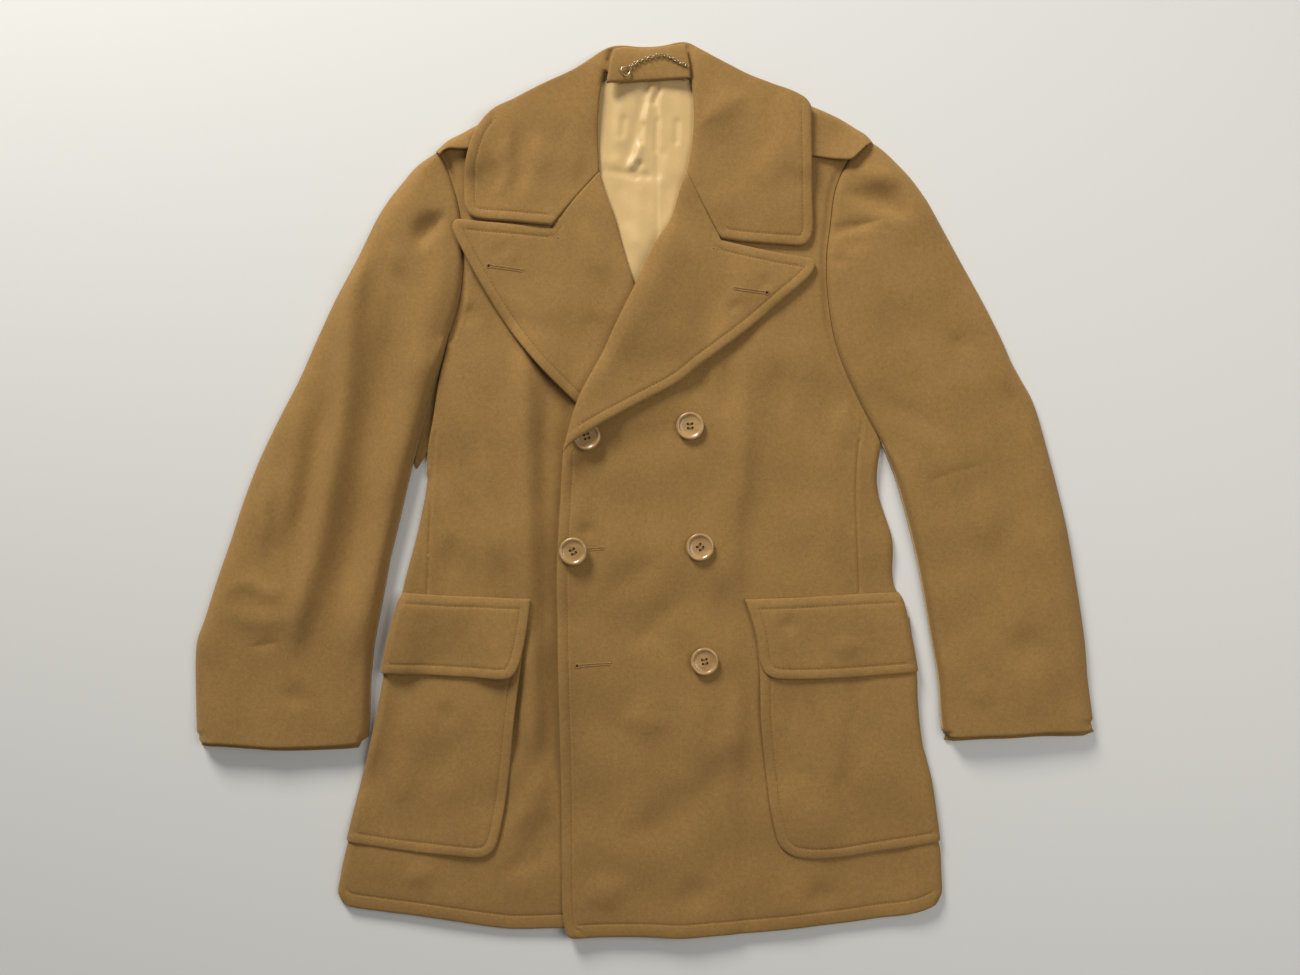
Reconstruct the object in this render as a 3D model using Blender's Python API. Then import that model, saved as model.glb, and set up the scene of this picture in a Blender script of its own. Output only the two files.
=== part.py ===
"""A short double-breasted greatcoat laid flat on its back, face up.

Sizes and places are in millimetres and become metres where a mesh is made. +X is to the right of the
coat as it lies, +Y runs from hem to collar and +Z is up. The origin is on the floor, in the middle
of the coat's outline. Left is the side at -X, which is the wearer's right.

Each piece of cloth is a wall of even thickness over a flat outline. The pieces lie on each other, so
a map of the pile's height is kept, and each new piece rests just above it.
"""
import math

import bpy
import numpy as np
from mathutils import Vector
from mathutils.geometry import delaunay_2d_cdt

MM = 0.001
GAP = 0.3  # between pieces that touch
SEAM = 0.15  # each piece's share of the gap at a seam

WOOL = 2.5  # wall of the heavy wool
LAPEL = 4.5  # wool, canvas and facing
STRAP = 4.0  # two layers of wool
SATIN = 1.0  # wall of the lining

BODY_TOP = 8.0  # upper surface of a front where it lies on the back
BODY_ROUND = 8.0  # how far in from the side the fold is rounded
SLEEVE_TOP = 14.5  # upper surface of a sleeve
SLEEVE_ROUND = 24.0  # how far in from its edges a sleeve is rounded
SLEEVE_HEAD = 44.0  # and how far from the armhole seam it rises
SLEEVE_CROWN = 2.0  # further rise along the middle of a sleeve
RIM = 1.2  # height of a folded edge's lowest line
UNDER_INSET = 5.2  # a hidden layer's edge stays this far inside the fold

BUTTON_RADIUS = 14.0
BUTTON_HEIGHT = 4.6
CHAIN_RADIUS = 1.3

BODY_PITCH = 30.0  # spacing of the points inside a front
SLEEVE_PITCH = 22.0
SMALL_PITCH = 21.0
EDGE_STEP = 16.0  # spacing of the points along an outline

# Lines that two pieces share, from hem to collar
ARMHOLE_LEFT = [(-200.7, 154.0), (-191.5, 178.0), (-186.0, 204.0), (-184.0, 236.0), (-186.0, 276.0),
                (-193.7, 303.0), (-204.5, 331.0), (-211.0, 340.5)]
ARMHOLE_RIGHT = [(240.0, 45.0), (219.0, 84.0), (200.0, 126.0), (190.0, 160.0), (184.0, 207.0),
                 (184.0, 237.0), (187.5, 266.0), (192.2, 300.0), (203.5, 328.5), (214.0, 341.0),
                 (226.5, 352.5)]
ROLL_LEFT = [(8.0, 92.5), (6.0, 137.2), (-2.0, 172.0), (-9.4, 203.2), (-19.4, 235.7), (-30.8, 276.1),
             (-39.5, 299.1), (-45.5, 319.1)]
ROLL_RIGHT = [(-81.5, 35.9), (-66.3, 88.8), (-42.3, 134.7), (-27.8, 165.9), (-9.4, 203.2),
              (9.5, 243.4), (26.6, 271.9), (36.5, 303.4), (42.5, 318.1)]
SIDE_LEFT = [(-306.2, -417.0), (-310.2, -408.0), (-308.4, -395.4), (-304.6, -375.0), (-299.6, -354.9),
             (-294.6, -334.7), (-289.6, -314.5), (-279.6, -274.0), (-270.4, -233.6), (-262.7, -193.0),
             (-257.4, -152.7), (-246.6, -112.2), (-242.4, -92.0), (-231.6, -51.6), (-222.7, -11.1),
             (-219.5, 9.1)]
SIDE_RIGHT = [(297.0, -417.5), (301.2, -407.0), (300.9, -395.0), (299.5, -365.0), (296.8, -352.0),
              (294.8, -334.7), (288.7, -294.2), (283.7, -274.0), (278.6, -253.8), (274.8, -213.4),
              (273.6, -180.0), (269.6, -152.7), (259.6, -112.2), (253.0, -98.0), (251.0, -85.0),
              (251.6, -60.0), (249.5, -45.0), (243.5, -27.0), (237.5, -8.0), (235.3, 10.0),
              (237.0, 29.0), (240.0, 45.0)]
GORGE_LEFT = [(-45.5, 319.1), (-70.8, 291.0), (-92.9, 266.2)]
GORGE_RIGHT = [(42.5, 318.1), (61.1, 280.9), (76.8, 251.7)]
SHOULDER_LEFT = [(-211.0, 340.5), (-196.5, 351.0), (-172.5, 363.5), (-120.0, 391.0), (-62.0, 420.0)]
SHOULDER_RIGHT = [(226.5, 352.5), (212.0, 362.5), (188.0, 376.5), (131.0, 401.5), (62.0, 424.0)]
# Under the left arm the front stands off a gusset of the back, which runs up to the sleeve
UNDERARM_LEFT = [(-219.5, 9.1), (-218.6, 38.0), (-213.2, 68.4), (-209.0, 108.0), (-200.7, 154.0)]
GUSSET_LEFT = [(-200.7, 154.0), (-211.0, 122.0), (-222.5, 74.0), (-228.0, 50.0), (-233.0, 27.0),
               (-230.5, 20.5), (-219.5, 36.0), (-211.5, 30.0), (-211.0, 8.0)]

# Sleeve sections, from shoulder to cuff: height on the coat, outer edge, inner edge
SLEEVE_LEFT = [
    # y, outer x
    (326.6, -229.5), (306.0, -247.5), (292.0, -258.5), (272.0, -271.0),
    (231.5, -290.5), (191.0, -312.5), (151.0, -331.0), (110.0, -349.0), (69.7, -370.0),
    (29.3, -389.2), (-11.0, -404.7), (-51.6, -418.0), (-92.0, -432.0), (-132.5, -445.0),
    (-152.7, -452.0), (-173.0, -453.9), (-213.4, -453.5), (-249.0, -452.5),
]
SLEEVE_RIGHT = [
    # y, outer x
    (342.8, 240.5), (326.6, 257.5), (312.4, 270.5), (292.2, 285.0), (272.0, 296.5), (231.5, 318.8),
    (191.0, 341.0), (150.6, 361.3), (130.4, 369.8), (110.2, 380.8), (92.0, 391.0), (69.7, 398.9),
    (29.3, 410.0), (-31.4, 425.2), (-92.0, 436.2), (-152.7, 445.2), (-193.0, 448.5), (-236.0, 453.9),
]
INNER_LEFT = [
    # y, inner x
    (-254.0, -279.4), (-231.0, -277.5), (-190.0, -276.2), (-152.7, -272.2), (-112.0, -264.3),
    (-71.8, -257.0), (-30.0, -247.0), (9.0, -238.0), (49.5, -228.5), (74.0, -223.0),
    (122.0, -211.5), (154.0, -200.7),
]
INNER_RIGHT = [
    # y, inner x
    (-247.5, 301.5), (-233.6, 299.8), (-193.0, 296.8), (-152.7, 290.0), (-112.0, 283.0),
    (-71.8, 275.3), (-31.4, 265.4), (9.0, 254.0), (29.3, 246.3), (45.0, 240.0),
]
CUFF_LEFT = [(-452.5, -249.0), (-446.0, -255.8), (-425.0, -257.4), (-397.0, -259.4), (-368.5, -261.2),
             (-326.0, -260.3), (-290.0, -258.0), (-279.4, -254.0)]
CUFF_RIGHT = [(301.5, -247.5), (305.0, -250.3), (313.0, -251.3), (341.3, -249.6), (369.6, -248.8),
              (402.0, -246.5), (443.0, -246.0), (452.0, -242.5), (453.9, -236.0)]

# Soft folds: the piece, the fold's line, half its width and its height (a trough is below zero)
FOLDS = [
    # piece, line, half width, height
    ("sleeve_left", [(-307, 87), (-321, 5), (-333, -56)], 13.0, 2.6),
    ("sleeve_left", [(-288, 87), (-304, -61), (-326, -133)], 12.0, -2.8),
    ("sleeve_left", [(-239, 73), (-260, 0), (-274, -61), (-294, -133)], 13.0, 2.2),
    ("sleeve_left", [(-361, 53), (-373, -36)], 14.0, 1.6),
    ("sleeve_left", [(-390, 0), (-398, -73)], 13.0, -1.8),
    ("sleeve_left", [(-221, 287), (-255, 245)], 13.0, -1.8),
    ("sleeve_right", [(189, 260), (223, 271)], 12.0, -1.8),
    ("sleeve_right", [(273, 0), (344, 26)], 12.0, 1.2),
    ("front_left", [(-111, 115), (-109, 18), (-112, -110), (-111, -270), (-129, -340)], 22.0, -1.9),
    ("front_left", [(-164, 58), (-159, -62)], 30.0, 1.2),
    ("front_right", [(93, 83), (91, 8), (89, -63)], 20.0, 2.4),
    ("front_right", [(111, -199), (95, -262), (84, -330)], 24.0, 2.2),
    ("front_right", [(-40, -82), (10, -121), (48, -151)], 20.0, 1.4),
]

# Outlines: each row is a kind of edge and its line. A fold turns down to the floor, a seam meets the
# next piece and a free edge ends the cloth.
BACK = [
    ("free", [(-302.0, -412.0), (-243.0, -425.5), (-129.0, -438.5), (0.0, -440.5), (84.0, -440.5),
              (166.0, -436.5), (234.0, -428.5), (292.0, -413.5)]),
    ("fold", SIDE_RIGHT[1:]),
    ("seam", ARMHOLE_RIGHT),
    ("fold", SHOULDER_RIGHT[:4] + [(76.0, 417.0)]),
    ("free", [(76.0, 417.0), (56.0, 408.0), (40.0, 413.5), (0.0, 416.0), (-40.0, 413.0),
              (-56.0, 407.0), (-76.0, 412.0)]),
    ("fold", [(-76.0, 412.0)] + SHOULDER_LEFT[3::-1]),
    ("seam", ARMHOLE_LEFT[::-1]),
    ("free", GUSSET_LEFT),
    ("fold", [(-211.0, 8.0)] + SIDE_LEFT[1:-1][::-1]),
    ("free", [(-310.2, -408.0), (-302.0, -412.0)]),
]
FRONT_LEFT = [
    ("free", [(-306.2, -417.0), (-296.0, -421.3), (-266.2, -425.9), (-226.0, -430.8), (-186.0, -436.6),
              (-146.0, -442.6), (-126.0, -443.8), (-84.8, -442.5), (0.0, -440.5), (66.0, -438.5)]),
    ("free", [(66.0, -438.5), (68.0, -300.0), (68.0, -100.0), (64.0, 20.0), (40.0, 66.0), (8.0, 92.5)]),
    ("free", ROLL_LEFT),
    ("free", [(-45.5, 319.1), (-47.2, 355.9), (-49.7, 395.6), (-62.0, 420.0)]),
    ("fold", SHOULDER_LEFT[::-1]),
    ("seam", ARMHOLE_LEFT[::-1]),
    ("free", UNDERARM_LEFT[::-1]),
    ("fold", SIDE_LEFT[::-1]),
]
FRONT_RIGHT = [
    ("free", [(-78.6, -445.6), (-75.6, -450.0), (-69.8, -451.6), (-45.0, -450.8), (-5.0, -450.3),
              (36.0, -451.2), (76.0, -448.8), (117.0, -446.4), (157.0, -442.2), (198.0, -437.8),
              (238.0, -432.0), (262.0, -429.0), (280.0, -424.8), (297.0, -417.5)]),
    ("fold", SIDE_RIGHT),
    ("seam", ARMHOLE_RIGHT),
    ("fold", SHOULDER_RIGHT),
    ("free", [(62.0, 424.0), (52.7, 395.6), (49.7, 359.9), (42.5, 318.1)]),
    ("free", ROLL_RIGHT[::-1]),
    ("free", [(-80.5, 38.5), (-87.0, -71.5), (-87.0, -125.4), (-83.6, -286.9), (-82.2, -421.7),
              (-78.6, -445.6)]),
]
LAPEL_LEFT = [
    ("free", [(-92.9, 264.3), (-128.8, 267.0), (-182.9, 271.2)]),
    ("free", [(-182.9, 271.2), (-189.3, 270.3), (-191.9, 261.6), (-183.3, 241.7), (-163.1, 204.1),
              (-140.2, 166.7), (-105.7, 123.5), (-66.6, 84.2), (-51.7, 81.5), (-19.8, 85.5), (8.0, 92.5)]),
    ("free", ROLL_LEFT),
    ("seam", GORGE_LEFT),
]
LAPEL_RIGHT = [
    ("free", [(162.1, 232.6), (129.8, 238.2), (76.8, 250.1)]),
    ("seam", GORGE_RIGHT[::-1]),
    ("free", ROLL_RIGHT[::-1]),
    ("free", [(-80.5, 38.5), (-75.5, 47.2), (-69.6, 51.6), (-48.0, 64.0), (-4.4, 86.3), (33.5, 106.8),
              (58.1, 125.8), (101.1, 157.7), (141.2, 191.6), (164.0, 211.7), (171.2, 223.6), (169.0, 230.4),
              (162.1, 232.6)]),
]
COLLAR = [
    ("free", [(-92.9, 266.3), (-134.4, 270.0), (-165.6, 273.0)]),
    ("free", [(-165.6, 273.0), (-174.3, 275.8), (-180.0, 286.9), (-180.0, 324.0), (-171.4, 355.9),
              (-161.5, 377.0)]),
    ("free", [(-161.5, 377.0), (-149.2, 384.1), (-125.1, 396.1), (-101.0, 407.4), (-77.0, 418.6),
              (-64.8, 425.3), (-52.7, 434.0), (-42.0, 442.8), (-33.0, 447.2), (-22.0, 448.4),
              (-4.5, 446.8), (7.6, 446.8), (19.7, 448.0), (31.7, 450.6), (40.0, 451.6), (47.0, 449.6),
              (56.0, 443.8), (68.0, 436.6), (80.0, 430.4), (104.0, 417.6), (128.0, 407.4),
              (140.3, 402.6), (152.4, 396.3), (162.0, 389.5), (166.5, 382.0)]),
    ("free", [(166.5, 382.0), (167.2, 344.1), (168.5, 286.9), (168.5, 258.0), (161.6, 245.7)]),
    ("free", [(161.6, 245.7), (144.3, 245.1), (101.3, 248.3), (76.8, 251.7)]),
    ("seam", GORGE_RIGHT[::-1]),
    ("free", [(42.5, 318.1), (48.2, 350.9), (49.6, 373.8), (48.2, 402.3), (43.8, 423.5)]),
    ("free", [(43.8, 423.5), (0.0, 418.0), (-39.7, 419.5)]),
    ("free", [(-39.7, 419.5), (-43.7, 402.3), (-46.6, 373.6), (-46.6, 344.8), (-45.5, 319.1)]),
    ("seam", GORGE_LEFT),
]
COLLAR_STAND = [
    ("free", [(-42.5, 406.5), (-13.5, 409.0), (15.3, 410.5), (46.0, 411.5)]),
    ("free", [(46.0, 411.5), (44.5, 430.0), (40.5, 447.0)]),
    ("free", [(40.5, 447.0), (26.0, 445.6), (0.5, 442.5), (-22.0, 444.2), (-35.5, 441.5)]),
    ("free", [(-35.5, 441.5), (-39.4, 425.3), (-42.5, 406.5)]),
]
LINING_BACK = [
    ("free", [(-70.0, 188.0), (0.0, 168.0), (60.0, 212.0)]),
    ("free", [(60.0, 212.0), (71.0, 297.0), (66.0, 366.0), (50.0, 413.0)]),
    ("free", [(50.0, 413.0), (15.0, 414.0), (-13.0, 413.5), (-46.0, 411.5)]),
    ("free", [(-46.0, 411.5), (-67.0, 366.0), (-79.0, 287.0), (-70.0, 188.0)]),
]
STRAP_LEFT = [
    ("free", [(-212.5, 341.5), (-209.0, 344.3), (-197.5, 352.6), (-185.4, 358.9), (-173.4, 365.5),
              (-150.0, 377.5)]),
    ("free", [(-150.0, 377.5), (-150.0, 345.5)]),
    ("free", [(-150.0, 345.5), (-178.2, 342.8), (-196.5, 342.2), (-202.0, 339.5), (-205.5, 335.0)]),
    ("free", [(-205.5, 335.0), (-212.5, 341.5)]),
]
STRAP_RIGHT = [
    ("free", [(150.0, 340.0), (171.0, 335.5), (201.0, 330.6), (207.0, 330.8), (214.0, 337.0), (222.0, 344.5),
              (231.0, 348.5)]),
    ("free", [(231.0, 348.5), (224.8, 356.5), (212.7, 364.8), (200.7, 372.5), (188.6, 378.6), (176.5, 383.8),
              (150.0, 391.0)]),
    ("free", [(150.0, 391.0), (150.0, 340.0)]),
]
POCKET_LEFT = [
    ("free", [(-117.0, -129.0), (-123.7, -181.6), (-130.3, -231.5), (-136.2, -286.9), (-143.7, -336.8),
              (-151.4, -361.8), (-163.8, -369.4)]),
    ("free", [(-163.8, -369.4), (-191.6, -368.1), (-241.3, -363.1), (-294.0, -353.7)]),
    ("free", [(-294.0, -353.7), (-274.0, -274.0), (-257.5, -193.0), (-246.0, -129.0)]),
    ("free", [(-246.0, -129.0), (-117.0, -129.0)]),
]
POCKET_RIGHT = [
    ("free", [(111.4, -129.0), (115.9, -187.0), (117.2, -233.0), (123.9, -300.3), (129.3, -335.3),
              (137.3, -359.5), (153.4, -369.8)]),
    ("free", [(153.4, -369.8), (191.3, -371.0), (231.8, -365.0), (291.5, -354.3)]),
    ("free", [(291.5, -354.3), (284.0, -294.0), (270.5, -213.4), (261.0, -129.0)]),
    ("free", [(261.0, -129.0), (111.4, -129.0)]),
]
FLAP_LEFT = [
    ("free", [(-241.0, -103.6), (-191.4, -107.5), (-113.6, -109.6)]),
    ("free", [(-113.6, -109.6), (-117.4, -141.3), (-122.3, -166.4), (-128.6, -182.7), (-136.2, -188.5)]),
    ("free", [(-136.2, -188.5), (-166.4, -189.1), (-216.1, -186.4), (-259.0, -184.5)]),
    ("free", [(-259.0, -184.5), (-251.0, -147.0), (-241.0, -103.6)]),
]
FLAP_RIGHT = [
    ("free", [(100.8, -110.9), (164.1, -108.7), (217.6, -105.3), (254.0, -103.3)]),
    ("free", [(254.0, -103.3), (262.0, -131.0), (270.5, -184.0)]),
    ("free", [(270.5, -184.0), (190.8, -189.9), (136.9, -190.4), (123.6, -186.5)]),
    ("free", [(123.6, -186.5), (116.9, -175.9), (112.9, -151.4), (107.5, -130.3), (100.8, -110.9)]),
]

# Buttons, in the order they are laid: the first is half under the lapel
BUTTONS = [
    # name, x, y
    ("button_1", -57.8, 51.5),
    ("button_2", 45.7, 63.1),
    ("button_3", -71.0, -62.1),
    ("button_4", 55.7, -58.1),
    ("button_5", 60.3, -172.5),
]
CHAIN = [(-7.8, 427.5), (2.0, 431.2), (15.2, 434.1), (24.9, 431.9), (34.8, 426.4), (42.5, 423.0)]
CHAIN_RING = (-18.8, 418.0, 4.6)  # middle of the end ring and its radius

# Colours: name, base colour, roughness, metallic
FINISHES = {
    "wool": ((0.27, 0.155, 0.06), 0.95, 0.0),
    "satin": ((0.64, 0.44, 0.2), 0.35, 0.0),
    "horn": ((0.36, 0.2, 0.08), 0.3, 0.0),
    "metal": ((0.62, 0.5, 0.3), 0.35, 1.0),
}

# The pile's map: for each piece that is laid, the height of its upper surface in each cell
CELL = 4.0
HALF = 500.0
AXIS = np.arange(-HALF, HALF + CELL / 2, CELL)
LAID = {}


def smooth(t):
    """Ease from 0 to 1."""
    t = np.clip(t, 0.0, 1.0)
    return t * t * (3.0 - 2.0 * t)


def arc(t):
    """A quarter circle from 0 to 1, upright at its start."""
    return np.sqrt(np.clip(1.0 - (1.0 - np.clip(t, 0.0, 1.0)) ** 2, 0.0, 1.0))


def through(points, step):
    """A soft line through the points, with a point about every step and both ends kept."""
    p = np.array(points, float)
    if len(p) == 2:
        count = max(1, round(float(np.linalg.norm(p[1] - p[0])) / step))
        return p[0] + (p[1] - p[0]) * np.linspace(0.0, 1.0, count + 1)[:, None]
    ends = np.vstack([2 * p[0] - p[1], p, 2 * p[-1] - p[-2]])
    line = [p[:1]]
    for a, b, c, d in zip(ends, ends[1:], ends[2:], ends[3:]):
        near = np.linalg.norm(c - b)
        count = max(1, round(float(near) / step))
        t = np.linspace(0.0, 1.0, count + 1)[1:, None]
        m0 = (c - a) * near / (near + np.linalg.norm(b - a))
        m1 = (d - b) * near / (near + np.linalg.norm(d - c))
        start = (2 * t**3 - 3 * t**2 + 1) * b + (t**3 - 2 * t**2 + t) * m0
        line.append(start + (3 * t**2 - 2 * t**3) * c + (t**3 - t**2) * m1)
    return np.vstack(line)


def trace(parts, step):
    """The closed outline that the parts give, and the kind of each of its points' next edge."""
    line, kinds = [], []
    for kind, points in parts:
        run = through(points, step)
        for point in run[:-1]:
            line.append(point)
            kinds.append(kind)
    line = np.array(line)
    x, y = line[:, 0], line[:, 1]
    if np.sum(x * np.roll(y, -1) - np.roll(x, -1) * y) < 0:
        line = line[::-1]
        kinds = kinds[::-1]
        kinds = kinds[1:] + kinds[:1]
    return line, kinds


def distance(points, line, closed=False):
    """The distance from each point to a line of points."""
    a = np.asarray(line, float)
    b = np.roll(a, -1, axis=0) if closed else a[1:]
    a = a if closed else a[:-1]
    best = np.full(len(points), 1e9)
    for start, end in zip(a, b):
        way = end - start
        t = np.clip(((points - start) @ way) / max(float(way @ way), 1e-9), 0.0, 1.0)
        best = np.minimum(best, np.linalg.norm(points - start - t[:, None] * way, axis=1))
    return best


def inside(points, line):
    """True for each point within a closed line."""
    found = np.zeros(len(points), bool)
    for (x0, y0), (x1, y1) in zip(line, np.roll(line, -1, axis=0)):
        if y0 == y1:
            continue
        crosses = (points[:, 1] < y0) != (points[:, 1] < y1)
        found ^= crosses & (points[:, 0] < x0 + (points[:, 1] - y0) * (x1 - x0) / (y1 - y0))
    return found


def moved_in(line, amounts):
    """A closed line with each point moved into it by its own amount."""
    back = line - np.roll(line, 1, axis=0)
    ahead = np.roll(line, -1, axis=0) - line
    back /= np.linalg.norm(back, axis=1)[:, None]
    ahead /= np.linalg.norm(ahead, axis=1)[:, None]
    way = back + ahead
    way /= np.maximum(np.linalg.norm(way, axis=1), 1e-6)[:, None]
    inward = np.column_stack([-way[:, 1], way[:, 0]])
    bend = np.clip(np.sum(way * ahead, axis=1), 0.6, 1.0)
    return line + inward * (np.asarray(amounts, float) / bend)[:, None]


def inset_by_kind(parts, amounts, step=EDGE_STEP):
    """An outline whose edges are moved in by an amount for each kind of edge."""
    line, kinds = trace(parts, step)
    own = np.array([amounts.get(k, 0.0) for k in kinds])
    return moved_in(line, np.maximum(own, np.roll(own, 1))), kinds


def cells(line, rings, pitch, rounded=None):
    """Points and triangles that fill a closed line, with rows of points beside its rounded edges."""
    last = max(rings, default=0.0)
    points = [line]
    for ring in rings:
        row = moved_in(line, np.full(len(line), ring))
        row = row if rounded is None else row[rounded]
        row = row[inside(row, line)]
        points.append(row[distance(row, line, True) > 0.9 * ring])
    low, high = line.min(0), line.max(0)
    rows = []
    for k, y in enumerate(np.arange(low[1], high[1], pitch * math.sqrt(3) / 2)):
        x = np.arange(low[0] + (k % 2) * pitch / 2, high[0], pitch)
        rows.append(np.column_stack([x, np.full(len(x), y)]))
    grid = np.vstack(rows)
    grid = grid[inside(grid, line)]
    beside = np.vstack(points)
    apart = np.array([np.min(np.linalg.norm(beside - p, axis=1)) for p in grid])
    points.append(grid[apart > 0.55 * pitch])
    flat = np.vstack(points)
    edges = [(k, (k + 1) % len(line)) for k in range(len(line))]
    made = delaunay_2d_cdt([Vector(p) for p in flat], edges, [], 1, 1e-4)
    flat = np.array([tuple(v) for v in made[0]])
    triangles = np.array([tuple(f) for f in made[2]])
    a, b, c = flat[triangles[:, 0]], flat[triangles[:, 1]], flat[triangles[:, 2]]
    turned = (b[:, 0] - a[:, 0]) * (c[:, 1] - a[:, 1]) < (b[:, 1] - a[:, 1]) * (c[:, 0] - a[:, 0])
    triangles[turned] = triangles[turned][:, ::-1]
    middles = (a + b + c) / 3
    return flat, triangles[inside(middles, line)]


def pile_up(name, flat, triangles, heights):
    """Add a piece's upper surface to the pile's map."""
    layer = LAID[name] = np.zeros((len(AXIS), len(AXIS)))
    for triangle in triangles:
        (ax, ay), (bx, by), (cx, cy) = flat[triangle]
        za, zb, zc = heights[triangle]
        i0 = int(math.ceil((min(ax, bx, cx) + HALF) / CELL))
        i1 = int(math.floor((max(ax, bx, cx) + HALF) / CELL)) + 1
        j0 = int(math.ceil((min(ay, by, cy) + HALF) / CELL))
        j1 = int(math.floor((max(ay, by, cy) + HALF) / CELL)) + 1
        if i1 <= i0 or j1 <= j0:
            continue
        x, y = AXIS[i0:i1][:, None], AXIS[j0:j1][None, :]
        area = (by - cy) * (ax - cx) + (cx - bx) * (ay - cy)
        wa = ((by - cy) * (x - cx) + (cx - bx) * (y - cy)) / area
        wb = ((cy - ay) * (x - cx) + (ax - cx) * (y - cy)) / area
        wc = 1.0 - wa - wb
        within = (wa > -0.01) & (wb > -0.01) & (wc > -0.01)
        height = np.where(within, wa * za + wb * zb + wc * zc, 0.0)
        layer[i0:i1, j0:j1] = np.maximum(layer[i0:i1, j0:j1], height)


def draped(flat, level, fade, beside=(), drop=8.0):
    """The pile's height below each point, kept level for a way past each edge and then eased down.

    The pieces in beside are its neighbours at a seam, so they do not lift it.
    """
    reach = int((level + fade) / CELL)
    pile = np.max([layer for name, layer in LAID.items() if name not in beside], axis=0)
    grown = pile.copy()
    for i in range(-reach, reach + 1):
        for j in range(-reach, reach + 1):
            far = math.hypot(i, j) * CELL
            if far > level + fade:
                continue
            loss = drop * float(smooth((far - level) / max(fade, 1e-6)))
            grown = np.maximum(grown, np.roll(pile, (i, j), (0, 1)) - loss)
    u = (flat[:, 0] + HALF) / CELL
    v = (flat[:, 1] + HALF) / CELL
    i, j = u.astype(int), v.astype(int)
    u, v = u - i, v - j
    low = grown[i, j] * (1 - v) + grown[i, j + 1] * v
    high = grown[i + 1, j] * (1 - v) + grown[i + 1, j + 1] * v
    return low * (1 - u) + high * u


def folds(piece, flat):
    """The rise that a piece's soft folds give each point."""
    rise = np.zeros(len(flat))
    for owner, line, width, height in FOLDS:
        if owner == piece:
            rise += height * np.exp(-((distance(flat, through(line, 12.0)) / width) ** 2))
    return rise


def down_from(flat, triangles, top, near_fold):
    """The way through the cloth at each point: straight down, but square to a folded edge."""
    points = np.column_stack([flat, top])
    a, b, c = (points[triangles[:, k]] for k in range(3))
    faces = np.cross(b - a, c - a)
    normals = np.zeros_like(points)
    for k in range(3):
        np.add.at(normals, triangles[:, k], faces)
    normals[:, :2] *= near_fold[:, None]
    return -normals / np.linalg.norm(normals, axis=1)[:, None]


def solid(name, flat, triangles, top, wall, finish, down=None):
    """One closed wall of cloth below the points of an upper surface."""
    if down is None:
        down = np.tile((0.0, 0.0, -1.0), (len(flat), 1))
    upper = np.column_stack([flat, top])
    lower = upper + down * wall
    lower[:, 2] = np.maximum(lower[:, 2], 0.0)
    count = len(flat)
    used = {(int(t[k]), int(t[(k + 1) % 3])) for t in triangles for k in range(3)}
    faces = [tuple(map(int, t)) for t in triangles]
    faces += [tuple(int(v) + count for v in t[::-1]) for t in triangles]
    for a, b in sorted(used):
        if (b, a) not in used:
            faces += [(a + count, b + count, b), (a + count, b, a)]
    mesh = bpy.data.meshes.new(name)
    mesh.from_pydata([tuple(v * MM) for v in np.vstack([upper, lower])], [], faces)
    mesh.update()
    return place(name, mesh, finish)


def place(name, mesh, finish):
    """Put a mesh in the scene with a material of its own."""
    colour, roughness, metallic = FINISHES[finish]
    material = bpy.data.materials.new(name)
    material.use_nodes = True
    shader = material.node_tree.nodes["Principled BSDF"]
    shader.inputs["Base Color"].default_value = (*colour, 1.0)
    shader.inputs["Roughness"].default_value = roughness
    shader.inputs["Metallic"].default_value = metallic
    mesh.materials.append(material)
    thing = bpy.data.objects.new(name, mesh)
    bpy.context.scene.collection.objects.link(thing)
    return thing


def beside_edges(flat, line, kinds, kind):
    """The distance from each point to the nearest edge of one kind."""
    ahead = np.roll(line, -1, axis=0)
    best = np.full(len(flat), 1e9)
    for k in range(len(line)):
        if kinds[k] == kind:
            best = np.minimum(best, distance(flat, np.array([line[k], ahead[k]])))
    return best


def make_flat(name, parts, wall, insets, finish):
    """A hidden layer that lies flat on the floor."""
    line, _ = inset_by_kind(parts, insets)
    flat, triangles = cells(line, (), 900.0)
    solid(name, flat, triangles, np.full(len(flat), wall), wall, finish)
    pile_up(name, flat, triangles, np.full(len(flat), wall))


def make_front(name, parts):
    """A front, laid over what is below it and turned down to the floor at its folded side."""
    line, kinds = inset_by_kind(parts, {"seam": SEAM})
    turned = np.array([k == "fold" for k in kinds])
    flat, triangles = cells(line, (1.6, 4.2, 8.5), BODY_PITCH, turned | np.roll(turned, 1))
    beside = beside_edges(flat, line, kinds, "fold")
    full = np.maximum(BODY_TOP, draped(flat, 20.0, 36.0) + GAP + WOOL) + folds(name, flat)
    top = RIM + (full - RIM) * arc(beside / BODY_ROUND)
    down = down_from(flat, triangles, top, (beside < BODY_ROUND + 4.0).astype(float))
    solid(name, flat, triangles, top, WOOL, "wool", down)
    pile_up(name, flat, triangles, top)


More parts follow.
